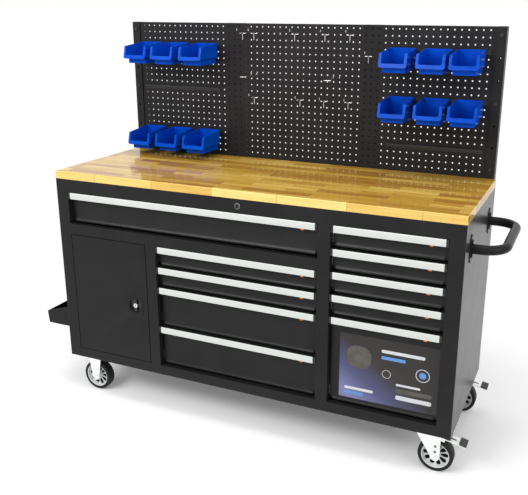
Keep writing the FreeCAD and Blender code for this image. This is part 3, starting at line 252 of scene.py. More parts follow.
FILM_TONES = ((0.0, (0.032, 0.030, 0.029)), (0.52, (0.040, 0.036, 0.034)),
              (0.78, (0.085, 0.090, 0.190)), (1.0, (0.200, 0.215, 0.400)))

# Floor and light; a lamp is its name, its place, its target, its size and its watts
FLOOR_HALF = 30.0
FLOOR_COLOUR = (0.80, 0.80, 0.80, 1.0)
FLOOR_LIFT = 0.10
FLOOR_FADE = (1.3, 1.9)
FLOOR_OVAL = (1.1, 1.7, 1.0)
SKY_LIGHT = 0.55
LAMPS = (("lamp_front", (-0.4, -3.6, 3.2), (0.0, 0.0, 0.6), (2.2, 2.2), 16.0),
         ("lamp_glint", (-1.7, -2.95, 3.0), (0.0, -0.2, 0.65), (3.2, 0.6), 82.0),
         ("lamp_right", (3.4, -1.4, 2.6), (0.5, 0.0, 0.5), (2.2, 2.2), 42.0),
         ("lamp_top", (0.0, -0.2, 4.2), (0.0, 0.0, 0.8), (3.0, 2.0), 55.0))


# Finishes

def span(node):
    """The lowest and the highest corner of a node."""
    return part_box(node)


def finish(name, inputs):
    """A new material and its surface shader, with some of the shader's values."""
    material = bpy.data.materials.new(name)
    material.use_nodes = True
    surface = material.node_tree.nodes["Principled BSDF"]
    for key, value in inputs.items():
        surface.inputs[key].default_value = value
    return material, surface


def add(material, kind, inputs=None, **settings):
    """A shader node with its settings and its unlinked input values."""
    made = material.node_tree.nodes.new("ShaderNode" + kind)
    for name, value in settings.items():
        setattr(made, name, value)
    for name, value in (inputs or {}).items():
        made.inputs[name].default_value = value
    return made


def link(material, source, target):
    """Joins an output of one shader node to an input of another."""
    material.node_tree.links.new(source, target)


def grain(material, texture, stretch=(1, 1, 1)):
    """Noise that sits on the object; a texture is its lumps per metre and its detail."""
    scale, detail = texture
    values = {"Scale": scale, "Detail": detail, "Roughness": GRAIN_ROUGHNESS}
    place = add(material, "TexCoord")
    shaped = add(material, "Mapping", {"Scale": stretch})
    noise = add(material, "TexNoise", values)
    link(material, place.outputs["Object"], shaped.inputs["Vector"])
    link(material, shaped.outputs["Vector"], noise.inputs["Vector"])
    return noise.outputs["Fac"]


def tones(material, amount, stops):
    """Colours along a value from 0 to 1; stops are pairs of a place and a colour."""
    ramp = add(material, "ValToRGB")
    points = ramp.color_ramp.elements
    while len(points) < len(stops):
        points.new(0.5)
    for point, (at, colour) in zip(points, stops):
        point.position = at
        point.color = (*colour, 1.0)
    link(material, amount, ramp.inputs["Fac"])
    return ramp.outputs["Color"]


def between(material, amount, low, high):
    """A value from 0 to 1 brought into the range from low to high."""
    scaled = add(material, "MapRange", {"To Min": low, "To Max": high})
    link(material, amount, scaled.inputs["Value"])
    return scaled.outputs["Result"]


def relief(material, surface, height, size):
    """Small unevenness of the surface; size is its depth in metres and its strength."""
    depth, strength = size
    bump = add(material, "Bump", {"Strength": strength, "Distance": depth})
    link(material, height, bump.inputs["Height"])
    link(material, bump.outputs["Normal"], surface.inputs["Normal"])


def drift(material, surface, amount, spread, colours, roughness):
    """Lets the colour and the roughness drift with a value from 0 to 1."""
    stops = tuple(zip(spread, colours))
    link(material, tones(material, amount, stops), surface.inputs["Base Color"])
    link(material, between(material, amount, *roughness), surface.inputs["Roughness"])


def powder_coat(name, dark, light, roughness, specular):
    """Baked powder paint: a fine orange peel and clouds of slightly different gloss."""
    values = {"Roughness": roughness[0], "Specular IOR Level": specular}
    material, surface = finish(name, values)
    clouds = grain(material, PAINT_CLOUDS)
    drift(material, surface, clouds, SOFT_SPREAD, (dark, light), roughness)
    relief(material, surface, grain(material, PAINT_PEEL), PEEL_RELIEF)
    return material


def staves(material, place, shades, gap):
    """Rows of staves glued end to end, with the given colours and the given glue line."""
    layout = {"Scale": 1.0, "Brick Width": STAVE[0], "Row Height": STAVE[1], "Mortar Size": gap}
    rows = add(material, "TexBrick", layout | shades, offset=STAVE_OFFSET, offset_frequency=2)
    link(material, place, rows.inputs["Vector"])
    return rows.outputs["Color"]


def wood_fibres(material, place, tone):
    """Long fibres, which start anew on each stave."""
    shift = add(material, "VectorMath", {1: FIBRE_JUMP}, operation="MULTIPLY_ADD")
    link(material, tone, shift.inputs[0])
    link(material, place, shift.inputs[2])
    stretched = add(material, "Mapping", {"Scale": FIBRE_STRETCH})
    link(material, shift.outputs["Vector"], stretched.inputs["Vector"])
    figure = add(material, "TexNoise", FIBRES)
    link(material, stretched.outputs["Vector"], figure.inputs["Vector"])
    return figure.outputs["Fac"]


def wood_tone(material, tone, figure):
    """How pale the wood is: a share comes from the stave and a share from its fibres."""
    mixed = add(material, "Math", {1: STAVE_SHARE}, operation="MULTIPLY")
    link(material, tone, mixed.inputs[0])
    total = add(material, "Math", {1: FIBRE_SHARE}, operation="MULTIPLY_ADD")
    link(material, figure, total.inputs[0])
    link(material, mixed.outputs["Value"], total.inputs[2])
    shifted = add(material, "Math", {1: TONE_SHIFT}, operation="SUBTRACT")
    link(material, total.outputs["Value"], shifted.inputs[0])
    return shifted.outputs["Value"]


def lighter_edge(material, place, colour, amount):
    """The colour, changed for paler tones on the worktop's front edge."""
    front = span("worktop")[0].y
    parts = add(material, "SeparateXYZ")
    link(material, place, parts.inputs["Vector"])
    depth = {"From Min": front + EDGE_DEPTH / 2, "From Max": front + EDGE_DEPTH}
    inwards = add(material, "MapRange", depth)
    link(material, parts.outputs["Y"], inwards.inputs["Value"])
    choice = add(material, "Mix", data_type="RGBA")
    link(material, inwards.outputs["Result"], choice.inputs["Factor"])
    link(material, tones(material, amount, EDGE_TONES), choice.inputs["A"])
    link(material, colour, choice.inputs["B"])
    return choice.outputs["Result"]


def block_wood():
    """Short hardwood staves glued in rows, each with its own tone and grain, under oil."""
    material, surface = finish("block_glued_wood", {"Roughness": WOOD_ROUGHNESS[0]} | WOOD_OIL)
    place = add(material, "TexCoord").outputs["Object"]
    shades = {"Color1": BLACK, "Color2": WHITE, "Mortar": HALF_GREY}
    tone = staves(material, place, shades, 0.0)
    figure = wood_fibres(material, place, tone)
    amount = wood_tone(material, tone, figure)
    colour = lighter_edge(material, place, tones(material, amount, WOOD_TONES), amount)
    seams = {"Color1": WHITE, "Color2": WHITE, "Mortar": GLUE_TONE}
    shade = add(material, "Mix", data_type="RGBA", blend_type="MULTIPLY")
    shade.inputs["Factor"].default_value = 1.0
    link(material, colour, shade.inputs["A"])
    link(material, staves(material, place, seams, GLUE_LINE), shade.inputs["B"])
    link(material, shade.outputs["Result"], surface.inputs["Base Color"])
    link(material, between(material, figure, *WOOD_ROUGHNESS), surface.inputs["Roughness"])
    relief(material, surface, figure, WOOD_RELIEF)
    return material


def plated_steel(name, dark, light, roughness):
    """Zinc or chrome over steel, with faint clouds from the bath."""
    material, surface = finish(name, {"Roughness": roughness[0], "Metallic": 1.0})
    clouds = grain(material, PLATE_CLOUDS)
    drift(material, surface, clouds, WIDE_SPREAD, (dark, light), roughness)
    relief(material, surface, grain(material, PLATE_GRAIN), PLATE_RELIEF)
    return material


def drawn_aluminium():
    """The pulls' light anodised skin with its drawing lines along X."""
    values = {"Roughness": DRAWN_ROUGHNESS[0], "Metallic": DRAWN_METALLIC}
    material, surface = finish("pull_anodised", values)
    lines = grain(material, DRAWN_LINES, DRAWN_STRETCH)
    drift(material, surface, lines, WIDE_SPREAD, PULL_TONES, DRAWN_ROUGHNESS)
    relief(material, surface, lines, DRAWN_RELIEF)
    return material


def moulded(name, dark, light, roughness, specular):
    """Moulded plastic or rubber with a faint cloud of tone and a fine moulding texture."""
    values = {"Roughness": roughness, "Specular IOR Level": specular}
    material, surface = finish(name, values)
    around = [roughness + change for change in MOULD_DRIFT]
    clouds = grain(material, MOULD_CLOUDS)
    drift(material, surface, clouds, SOFT_SPREAD, (dark, light), around)
    relief(material, surface, grain(material, MOULD_GRAIN), MOULD_RELIEF)
    return material


def printed_film():
    """The label's ground: dark grey that turns violet-blue towards its lower left corner."""
    values = {"Roughness": FILM_ROUGHNESS, "Specular IOR Level": FILM_SPECULAR}
    material, surface = finish("label_film", values)
    place = add(material, "TexCoord")
    parts = add(material, "SeparateXYZ")
    link(material, place.outputs["Object"], parts.inputs["Vector"])
    glow = add(material, "Math", operation="ADD")
    ways = (("X", LABEL_X, FILM_ACROSS), ("Z", LABEL_Z, FILM_UPWARDS))
    for number, (axis, reach, share) in enumerate(ways):
        limits = {"From Min": reach[0], "From Max": reach[1],
                  "To Min": share[0], "To Max": share[1]}
        fade = add(material, "MapRange", limits)
        link(material, parts.outputs[axis], fade.inputs["Value"])
        link(material, fade.outputs["Result"], glow.inputs[number])
    colour = tones(material, glow.outputs["Value"], FILM_TONES)
    link(material, colour, surface.inputs["Base Color"])
    relief(material, surface, grain(material, FILM_GRAIN), FILM_RELIEF)
    return material


# Each row: the darker and the lighter colour, the roughness, and how strongly it mirrors
DULL = (0.34, 0.44)
SATIN = (0.30, 0.38)
SEMI_GLOSS = (0.26, 0.36)
GLOSS = (0.20, 0.28)
POWDERS = {
    "body": ((0.0115, 0.0109, 0.0117), (0.0150, 0.0141, 0.0152), DULL, 0.17),
    # side: the body's black, made lighter as painted light on the side panels, and glossier
    "side": ((0.0200, 0.0185, 0.0195), (0.0250, 0.0235, 0.0245), SEMI_GLOSS, 0.37),
    "drawer": ((0.0100, 0.0097, 0.0103), (0.0132, 0.0128, 0.0137), SATIN, 0.22),
    "inner": ((0.0120, 0.0120, 0.0125), (0.0170, 0.0170, 0.0175), DULL, 0.25),
    "board": ((0.0135, 0.0124, 0.0133), (0.0176, 0.0164, 0.0173), DULL, 0.14),
    # rail: the black, made lighter as painted light for the bright line on the rails' top edges,
    # and glossier
    "rail": ((0.0200, 0.0185, 0.0185), (0.0260, 0.0245, 0.0245), GLOSS, 0.35),
    "handle": ((0.0110, 0.0110, 0.0120), (0.0150, 0.0150, 0.0160), SEMI_GLOSS, 0.11),
    "oxide": ((0.0100, 0.0100, 0.0100), (0.0160, 0.0160, 0.0160), DULL, 0.40),
}
PLATES = {
    "zinc": ((0.74, 0.76, 0.74), (0.90, 0.92, 0.90), (0.22, 0.36)),
    "slide": ((0.46, 0.47, 0.48), (0.60, 0.61, 0.62), (0.22, 0.36)),
    "wire": ((0.46, 0.46, 0.46), (0.60, 0.60, 0.60), (0.18, 0.28)),
    "lock": ((0.70, 0.70, 0.70), (0.80, 0.80, 0.80), (0.10, 0.18)),
    "core": ((0.16, 0.16, 0.165), (0.22, 0.22, 0.225), (0.30, 0.40)),
}
MOULDINGS = {
    # cap: the black end caps, and the pull's top, where the black is painted shade
    "cap": ((0.008, 0.008, 0.008), (0.012, 0.012, 0.012), 0.34, 0.5),
    "catch": ((0.62, 0.17, 0.03), (0.72, 0.24, 0.06), 0.42, 0.5),
    "bin": ((0.000, 0.056, 0.450), (0.001, 0.072, 0.540), 0.16, 0.05),
    "latch": ((0.006, 0.006, 0.006), (0.010, 0.010, 0.010), 0.30, 0.5),
    "tyre": ((0.007, 0.007, 0.007), (0.011, 0.011, 0.011), 0.55, 0.25),
    "rim": ((0.68, 0.70, 0.69), (0.76, 0.78, 0.77), 0.34, 0.5),
    # web: near black, painted shade in the rims' windows
    "web": ((0.004, 0.004, 0.004), (0.006, 0.006, 0.006), 0.60, 0.10),
    "pad": ((0.045, 0.050, 0.045), (0.065, 0.070, 0.065), 0.50, 0.4),
    "print_white": ((0.60, 0.61, 0.64), (0.68, 0.69, 0.72), 0.32, 0.3),
    "print_blue": ((0.10, 0.26, 0.62), (0.14, 0.31, 0.68), 0.32, 0.3),
    "print_grey": ((0.085, 0.080, 0.070), (0.120, 0.110, 0.100), 0.32, 0.2),
}
FINISHES = {"wood": block_wood(), "pull": drawn_aluminium(), "film": printed_film()}
for kind, make, table in (("powder_coat", powder_coat, POWDERS),
                          ("plate", plated_steel, PLATES), ("moulding", moulded, MOULDINGS)):
    for key, values in table.items():
        FINISHES[key] = make(f"{key}_{kind}", *values)


# Making pieces

def show(name, shape, finish_name, node, turn_out=True):
    """Turns a finished shape into a piece with the given finish that rides on a node's body."""
    if turn_out:
        bmesh.ops.recalc_face_normals(shape, faces=shape.faces)
    mesh = bpy.data.meshes.new(name)
    shape.to_mesh(mesh)
    shape.free()
    mesh.materials.append(FINISHES[finish_name])
    mesh.shade_smooth()
    mesh.set_sharp_from_angle(angle=SMOOTH_ANGLE)
    piece = bpy.data.objects.new(name, mesh)
    bpy.context.scene.collection.objects.link(piece)
    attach(piece, BODY_OF[node])
    return piece


def round_edges(piece, width):
    """A small round along every sharp edge, as folding, drawing or moulding leaves it."""
    rounding = piece.modifiers.new("edge_rounding", "BEVEL")
    rounding.width = width
    rounding.segments = EDGE_SEGMENTS
    rounding.limit_method = "ANGLE"
    rounding.angle_limit = EDGE_ANGLE
    rounding.harden_normals = True
    return piece


def block(shape, low, high):
    """Adds a box between two corners."""
    size = Vector(high) - Vector(low)
    middle = (Vector(high) + Vector(low)) / 2
    matrix = Matrix.Translation(middle) @ Matrix.Diagonal((*size, 1.0))
    bmesh.ops.create_cube(shape, size=1.0, matrix=matrix)


def drum(shape, centre, radius, start, end):
    """Adds a closed cylinder round a line along Y through centre, from start to end."""
    middle = Vector((centre.x, (start + end) / 2, centre.z))
    matrix = Matrix.Translation(middle) @ Matrix.Rotation(QUARTER_TURN, 4, "X")
    bmesh.ops.create_cone(shape, cap_ends=True, cap_tris=False, segments=DRUM_STEPS,
                          radius1=radius, radius2=radius, depth=end - start, matrix=matrix)


def tube(radius, other, half):
    """The profile of a tube between two radii that reaches the same way to either side."""
    return [(radius, -half), (radius, half), (other, half), (other, -half)]


def turned(shape, profile, centre, steps=SPIN_STEPS):
    """Spins a closed profile of (radius, along) pairs round a line along Y through centre."""
    x, y, z = centre
    verts = [shape.verts.new((x + radius, y + along, z)) for radius, along in profile]
    edges = [shape.edges.new(pair) for pair in zip(verts, verts[1:] + verts[:1])]
    bmesh.ops.spin(shape, geom=verts + edges, cent=centre, axis=ALONG_Y, angle=math.tau,
                   steps=steps, use_merge=True, use_normal_flip=False, use_duplicate=False)


def push_out(shape, faces, move):
    """Draws faces out into a solid by a move."""
    made = bmesh.ops.extrude_face_region(shape, geom=faces)
    corners = [part for part in made["geom"] if isinstance(part, bmesh.types.BMVert)]
    bmesh.ops.translate(shape, verts=corners, vec=move)


def drawn_out(shape, outline, x):
    """A closed outline of (y, z) pairs drawn out along X from x[0] to x[1]."""
    face = shape.faces.new([shape.verts.new((x[0], y, z)) for y, z in outline])
    push_out(shape, [face], (x[1] - x[0], 0, 0))


def round_corners(shape, width, segments):
    """Rounds the edges that run along Y, so that the front of a block gets round corners."""
    edges = [edge for edge in shape.edges
             if abs(edge.verts[0].co.y - edge.verts[1].co.y) > WELD]
    bmesh.ops.bevel(shape, geom=edges, offset=width, offset_type="OFFSET", affect="EDGES",
                    segments=segments, profile=0.5, material=-1)


def solids_of(node):
    """The separate solids of a node as merged shapes, in the order of its mesh."""
    whole = bmesh.new()
    whole.from_mesh(NODES[node].data)
    bmesh.ops.remove_doubles(whole, verts=whole.verts, dist=WELD)
    whole.verts.index_update()
    group_of = {}
    for start in whole.verts:
        waiting = [] if start.index in group_of else [start]
        while waiting:
            vert = waiting.pop()
            group_of[vert.index] = start.index
            around = [edge.other_vert(vert) for edge in vert.link_edges]
            waiting += [other for other in around if other.index not in group_of]
    shapes = []
    for group in sorted(set(group_of.values())):
        solid = whole.copy()
        others = [vert for vert in solid.verts if group_of[vert.index] != group]
        bmesh.ops.delete(solid, geom=others, context="VERTS")
        bmesh.ops.dissolve_limit(solid, angle_limit=FLAT_ANGLE, verts=solid.verts,
                                 edges=solid.edges)
        shapes.append(solid)
    whole.free()
    return shapes


# Parts that keep their shape

def dress(node, finish_name):
    """Gives a node its finish and leaves its shape as it is."""
    slots = NODES[node].data.materials
    slots.clear()
    slots.append(FINISHES[finish_name])


def rounded(node, finish_names, width):
    """Shows each solid of a node as a piece with rounded edges; the last finish is reused."""
    pieces = []
    for number, shape in enumerate(solids_of(node)):
        finish_name = finish_names[min(number, len(finish_names) - 1)]
        piece = show(f"{node}_part_{number + 1}", shape, finish_name, node, turn_out=False)
        pieces.append(round_edges(piece, width))
    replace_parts(pieces[0], node)


DRESSED = {
    "worktop": "wood", "side_panels": "side", "back_panel": "body", "base_pan": "body",
    "inner_panels": "inner", "slide_rails": "slide", "push_handle": "handle",
    "pegboard": "board", "pegboard_posts": "board", "peg_hooks": "wire",
    "caster_mounts": "zinc", "fasteners": "oxide",
    "swivel_fork_right_front": "zinc", "swivel_fork_right_rear": "zinc",
    "brake_pedal_right_front": "zinc", "brake_pedal_right_rear": "zinc",
}
FOLDED = {
    "front_frame": ("body", FOLD_ROUND), "side_tray": ("body", FOLD_ROUND),
    "door": ("body", FOLD_ROUND), "bin_rails": ("rail", THIN_ROUND),
}

for node_name, finish_name in DRESSED.items():
    dress(node_name, finish_name)
for node_name, (finish_name, width) in FOLDED.items():
    rounded(node_name, [finish_name], width)
for drawer in DRAWERS:
    rounded(drawer, ["drawer", "drawer", "slide"], FRONT_ROUND)
    rounded(f"{drawer}_catch", ["catch"], THIN_ROUND)
for row in BIN_ROWS:
    rounded(row, ["bin"], MOULD_ROUND)


# Pulls

def grip_outline(low, high):
    """The pull's grip plate, slightly bulged, with a lip inwards at its foot."""
    face = [(low.y + depth * MM, high.z - drop * MM) for depth, drop in PULL_FACE]
    lip, back, ledge = low.y + PULL_LIP_DEPTH, low.y + PULL_WALL, low.z + PULL_WALL
    return face + [(lip, low.z), (lip, ledge), (back, ledge), (back, high.z)]


def hook_outline(low, high):
    """The pull's top, black as painted shade, with the hook over the front's upper edge."""
    front, back = low.y + PULL_WALL, high.y - PULL_WALL
    under, foot = high.z - PULL_WALL, high.z - PULL_HOOK
    return [(front, under), (back, under), (back, foot), (high.y, foot), (high.y, high.z),
            (front, high.z)]


def cut_catch_slot(shape, x, y, top):
    """Opens a slot through the pull's lip, whose upper side lies at top."""
    for axis, places in ((ALONG_X, x), (ALONG_Y, y)):
        for at in places:
            everything = shape.verts[:] + shape.edges[:] + shape.faces[:]
            bmesh.ops.bisect_plane(shape, geom=everything, plane_co=axis * at, plane_no=axis)
    doomed = []
    for face in shape.faces:
        middle = face.calc_center_median()
        if x[0] < middle.x < x[1] and y[0] < middle.y < y[1] and middle.z < top + WELD:
            doomed.append(face)
    rings = [edge for face in doomed for edge in face.edges]
    bmesh.ops.delete(shape, geom=doomed, context="FACES_ONLY")
    bmesh.ops.bridge_loops(shape, edges=rings)


def pull(drawer):
    """A light grip plate, its top black as painted shade, and a black cap at each end."""
    node = f"{drawer}_pull"
    low, high = span(node)
    catch_low, catch_high = span(f"{drawer}_catch")
    start, end = low.x + PULL_CAP, high.x - PULL_CAP
    grip = bmesh.new()
    drawn_out(grip, grip_outline(low, high), (start, end))
    middle = low.y + (PULL_LIP_DEPTH + PULL_WALL) / 2
    cut_catch_slot(grip, (catch_low.x - CATCH_TRAVEL, catch_high.x),
                   (middle - CATCH_SLOT / 2, middle + CATCH_SLOT / 2), low.z + PULL_WALL)
    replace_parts(show(f"{node}_grip", grip, "pull", node), node)
    # The pull's top in black: painted shade for the dark gap above each pull
    hook = bmesh.new()
    drawn_out(hook, hook_outline(low, high), (start, end))
    round_edges(show(f"{node}_hook", hook, "cap", node), HOOK_ROUND)
    for side, x in (("left", (low.x, start)), ("right", (end, high.x))):
        cap = bmesh.new()
        block(cap, (x[0], low.y, low.z), (x[1], high.y, high.z))
        round_edges(show(f"{node}_cap_{side}", cap, "cap", node), MOULD_ROUND)


for drawer in DRAWERS:
    pull(drawer)


# Latch of the door

def cut_key_slot(shape, centre, face_y):
    """Sinks a key slot into the face of a barrel that looks towards -Y."""
    width, height, depth = KEY_SLOT
    cuts = ((ALONG_X, centre.x - width / 2), (ALONG_X, centre.x + width / 2),
            (ALONG_Z, centre.z - height / 2), (ALONG_Z, centre.z + height / 2))
    for axis, at in cuts:
        face = [f for f in shape.faces if abs(f.calc_center_median().y - face_y) < WELD]
        around = list(dict.fromkeys(edge for f in face for edge in f.edges))
        corners = list(dict.fromkeys(vert for f in face for vert in f.verts))
        bmesh.ops.bisect_plane(shape, geom=face + around + corners, plane_co=axis * at,
                               plane_no=axis)
    mouth = []
    for face in shape.faces:
        off = face.calc_center_median() - centre
        within = abs(off.x) < width / 2 and abs(off.z) < height / 2
        if within and abs(centre.y + off.y - face_y) < WELD:
            mouth.append(face)
    push_out(shape, mouth, (0, depth, 0))
    bmesh.ops.delete(shape, geom=mouth, context="FACES_ONLY")


def door_latch():
    """A black dished disc with an upright grip, its bright key barrel, shaft and tongue."""
    node = "door_latch"
    low, high = span(node)
    radius = (high.x - low.x) / 2
    centre = Vector(((low.x + high.x) / 2, low.y, low.z + radius))
    face, back = LATCH_DISC
    rim, dish = radius - LATCH_RIM, face - LATCH_LEDGE
    disc = bmesh.new()
    turned(disc, [(NEAR_AXIS, face), (rim, face), (rim, dish), (radius, dish), (radius, back),
                  (NEAR_AXIS, back)], centre)
    bmesh.ops.remove_doubles(disc, verts=disc.verts, dist=POLE_WELD)
    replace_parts(round_edges(show("door_latch_disc", disc, "latch", node), FINE_ROUND), node)
    grip = bmesh.new()
    half, reach = LATCH_GRIP / 2, radius - LATCH_MARGIN
    block(grip, (centre.x - half, low.y, centre.z - reach),
          (centre.x + half, low.y + face, centre.z + reach))
    round_corners(grip, LATCH_END, END_SEGMENTS)
    round_edges(show("door_latch_grip", grip, "latch", node), MOULD_ROUND)
    barrel = bmesh.new()
    face_y = low.y - BARREL_PROUD
    drum(barrel, centre, BARREL_RADIUS, face_y, face_y + BARREL_LENGTH)
    cut_key_slot(barrel, centre, face_y)
    round_edges(show("door_latch_barrel", barrel, "lock", node), FINE_ROUND)
    works = bmesh.new()
    half = LATCH_TONGUE / 2
    drum(works, centre, LATCH_SHAFT, low.y + back, high.y)
    block(works, (centre.x - half, high.y - LATCH_TONGUE_SHEET, centre.z - half),
          (centre.x + half, high.y, high.z))
    round_edges(show("door_latch_tongue", works, "zinc", node), FINE_ROUND)


def cabinet_lock():
    """A dull flange round a black core with a key slot, the barrel behind it and the cam."""
    node = "cabinet_lock"
    low, high = span(node)
    centre = Vector((low.x + LOCK_FLANGE, low.y, (low.z + high.z) / 2))
    flange = bmesh.new()
    turned(flange, [(LOCK_CORE, 0.0), (LOCK_FLANGE - LOCK_EDGE, 0.0), (LOCK_FLANGE, LOCK_EDGE),
                    (LOCK_FLANGE, LOCK_PROUD), (LOCK_CORE, LOCK_PROUD)], centre)
    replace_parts(show("cabinet_lock_flange", flange, "core", node), node)
    core = bmesh.new()
    face_y, back = low.y + LOCK_SUNK, low.y + LOCK_PROUD
    drum(core, centre, LOCK_CORE, face_y, back)
    cut_key_slot(core, centre, face_y)
    show("cabinet_lock_core", core, "oxide", node)
    works = bmesh.new()
    cam, half = high.y - LOCK_CAM_SHEET, LOCK_CAM_WIDTH / 2
    drum(works, centre, LOCK_BARREL, back, cam)
    block(works, (centre.x - half, cam, centre.z - half), (high.x, high.y, centre.z + half))
    round_edges(show("cabinet_lock_works", works, "zinc", node), FINE_ROUND)


door_latch()
cabinet_lock()


# Casters

def tyre_outline(radius, half):
    """A closed section of the tyre as (radius, along) pairs, from the crown all round."""
    near = [(radius, 0.0)]
    for step in range(SHOULDER_STEPS, -1, -1):
        turn = math.radians(step * SHOULDER_DEGREES)
        near.append((radius - SIDEWALL_ROUND * (1 - math.sin(turn)),
                     half - SIDEWALL_ROUND * (1 - math.cos(turn))))
    start, deep, end = (radius - TYRE_DEPTH * share for share in GROOVE_SHARES)
    near += [(start, half), (deep, half - GROOVE), (end, half - GROOVE),
             (radius - TYRE_DEPTH, half)]
    return near + [(r, -along) for r, along in near[:0:-1]]


def window_ring(shape, low, high, angle):
    """One share of the web between two spokes: a flat ring round an oval window."""
    half = math.pi / WINDOWS

    def polar(radius, turn):
        """A corner at a radius, turned away from the window's middle line."""
        return shape.verts.new((radius * math.cos(angle + turn), 0.0,
                                radius * math.sin(angle + turn)))

    turns = [half * (2 * step / WINDOW_STEPS - 1) for step in range(WINDOW_STEPS + 1)]
    radii = [low + (high - low) * step / WINDOW_STEPS for step in range(1, WINDOW_STEPS)]
    outer = [polar(low, turn) for turn in turns]
    outer += [polar(radius, half) for radius in radii]
    outer += [polar(high, turn) for turn in turns[::-1]]
    outer += [polar(radius, -half) for radius in radii[::-1]]
    middle = (low + high) / 2
    inner = []
    for vert in outer:
        x, z = vert.co.x, vert.co.z
        radial = x * math.cos(angle) + z * math.sin(angle) - middle
        across = -x * math.sin(angle) + z * math.cos(angle)
        turn = math.atan2(across / (middle * half), radial / ((high - low) / 2))
        far = middle + WINDOW_LENGTH * (high - low) / 2 * math.cos(turn)
        spread = WINDOW_WIDTH * far * half * math.sin(turn)
        inner.append(shape.verts.new((far * math.cos(angle) - spread * math.sin(angle), 0.0,
                                      far * math.sin(angle) + spread * math.cos(angle))))
    rings = []
    for ring in (outer, inner):
        for pair in zip(ring, ring[1:] + ring[:1]):
            rings.append(shape.edges.get(pair) or shape.edges.new(pair))
    bmesh.ops.bridge_loops(shape, edges=rings)


def rim_web(low, high, thickness):
    """The web of a rim with its oval windows, flat across Y and centred on the origin."""
    web = bmesh.new()
    for number in range(WINDOWS):
        window_ring(web, low, high, math.tau * number / WINDOWS)
    bmesh.ops.remove_doubles(web, verts=web.verts, dist=SPOKE_WELD)
    push_out(web, web.faces[:], (0, thickness, 0))
    bmesh.ops.translate(web, verts=web.verts, vec=(0, -thickness / 2, 0))
    return web


def wheel(caster):
    """A tyre with a round shoulder on a pale rim with ten oval windows, a hub and a sleeve."""
    node = f"wheel_{caster}"
    low, high = span(node)
    centre = (low + high) / 2
    radius, half = (high.z - low.z) / 2, TYRE_WIDTH / 2
    bed, inset = radius - TYRE_DEPTH, half - RIM_INSET
    lip = bed - RIM_WALL
    slope, shelf = lip - RIM_SLOPE[0], inset - RIM_SLOPE[1]
    tyre = bmesh.new()
    turned(tyre, tyre_outline(radius, half), centre)
    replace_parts(show(f"{node}_tyre", tyre, "tyre", node), node)
    rim = bmesh.new()
    turned(rim, [(bed, -inset), (bed, inset), (lip, inset), (slope, shelf), (slope, -shelf),
                 (lip, -inset)], centre)
    web = rim_web(HUB_RADIUS - HUB_OVERLAP, lip, WEB)
    bmesh.ops.translate(web, verts=web.verts, vec=centre)
    turned(web, tube(HUB_RADIUS, BORE_RADIUS, half), centre)
    round_edges(show(f"{node}_rim", rim, "rim", node), RIM_ROUND)
    round_edges(show(f"{node}_web", web, "rim", node), RIM_ROUND)
    # A near-black disc through the middle of the web: painted shade that darkens the oval windows
    core = bmesh.new()
    turned(core, tube(HUB_RADIUS - RIM_INSET, lip, WEB_CORE / 2), centre)
    show(f"{node}_core", core, "web", node)
    sleeve = bmesh.new()
    turned(sleeve, tube(BORE_RADIUS, AXLE_RADIUS, (high.y - low.y) / 2), centre)
    show(f"{node}_sleeve", sleeve, "zinc", node)


def sloped(shape, x, y, top_of, low, high):
    """A slab from x[0] to x[1] whose faces lie low and high above a sloping line."""
    near, far = top_of(x[0]), top_of(x[1])
    corners = [(x[0], near + low), (x[1], far + low), (x[1], far + high), (x[0], near + high)]
    face = shape.faces.new([shape.verts.new((along, y[0], up)) for along, up in corners])
    push_out(shape, [face], (0, y[1] - y[0], 0))


def pedal_pad(caster):
    """A ribbed rubber pad on the pedal's tip, and a black patch of painted shade for its slot."""
    node = f"brake_pedal_{caster}"
    low, high = span(node)
    pivot_x, pivot_z = high.x - PEDAL_REACH, high.z - PEDAL_SLEEVE

    def top_of(x):
        """The height of the plate's upper side, which falls towards its tip."""
        return pivot_z - PEDAL_FALL * (x - pivot_x) / PEDAL_REACH + PEDAL_SHEET

    start, end = high.x - PEDAL_PAD - PAD_WRAP, high.x + PAD_WRAP
    sides = (low.y - PAD_WRAP, high.y + PAD_WRAP)
    pad = bmesh.new()
    sloped(pad, (start, end), sides, top_of, -PAD_WRAP, PAD_HEIGHT + PAD_WRAP)
    pitch = (end - start) / PAD_RIBS
    for number in range(PAD_RIBS):
        rib = [start + (number + share) * pitch for share in RIB_SHARE]
        sloped(pad, rib, sides, top_of, PAD_HEIGHT, PAD_HEIGHT + PAD_WRAP + PAD_RIB)
    round_edges(show(f"{node}_pad", pad, "pad", node), FINE_ROUND)
    # A thin black sheet on the plate: painted shade where the plate has a slot
    slot = bmesh.new()
    middle = (low.y + high.y) / 2
    near, far, width = PEDAL_SLOT
    sloped(slot, (pivot_x + near, pivot_x + far), (middle - width / 2, middle + width / 2),
           top_of, -PAD_WRAP, PAD_WRAP / 2)
    show(f"{node}_slot", slot, "oxide", node)


def rivets(caster):
    """Two rivet heads on each cheek of a fork, over the axle."""
    node = f"swivel_fork_{caster}"
    wheel_low, wheel_high = span(f"wheel_{caster}")
    centre = (wheel_low + wheel_high) / 2
    flat, brim = RIVET_RADIUS * RIVET_CROWN[0], RIVET_HEIGHT * RIVET_CROWN[1]
    profile = [(NEAR_AXIS, RIVET_HEIGHT), (flat, RIVET_HEIGHT), (RIVET_RADIUS, brim),
               (RIVET_RADIUS, -RIVET_SUNK), (NEAR_AXIS, -RIVET_SUNK)]
    heads = bmesh.new()
    for way in (-1, 1):
        outline = [(radius, way * along) for radius, along in profile]
        for rise in RIVETS:
            place = Vector((centre.x, centre.y + way * CHEEK_FACE, centre.z + rise))
            turned(heads, outline, place, RIVET_STEPS)
    bmesh.ops.remove_doubles(heads, verts=heads.verts, dist=POLE_WELD)
    show(f"{node}_rivets", heads, "core", node)


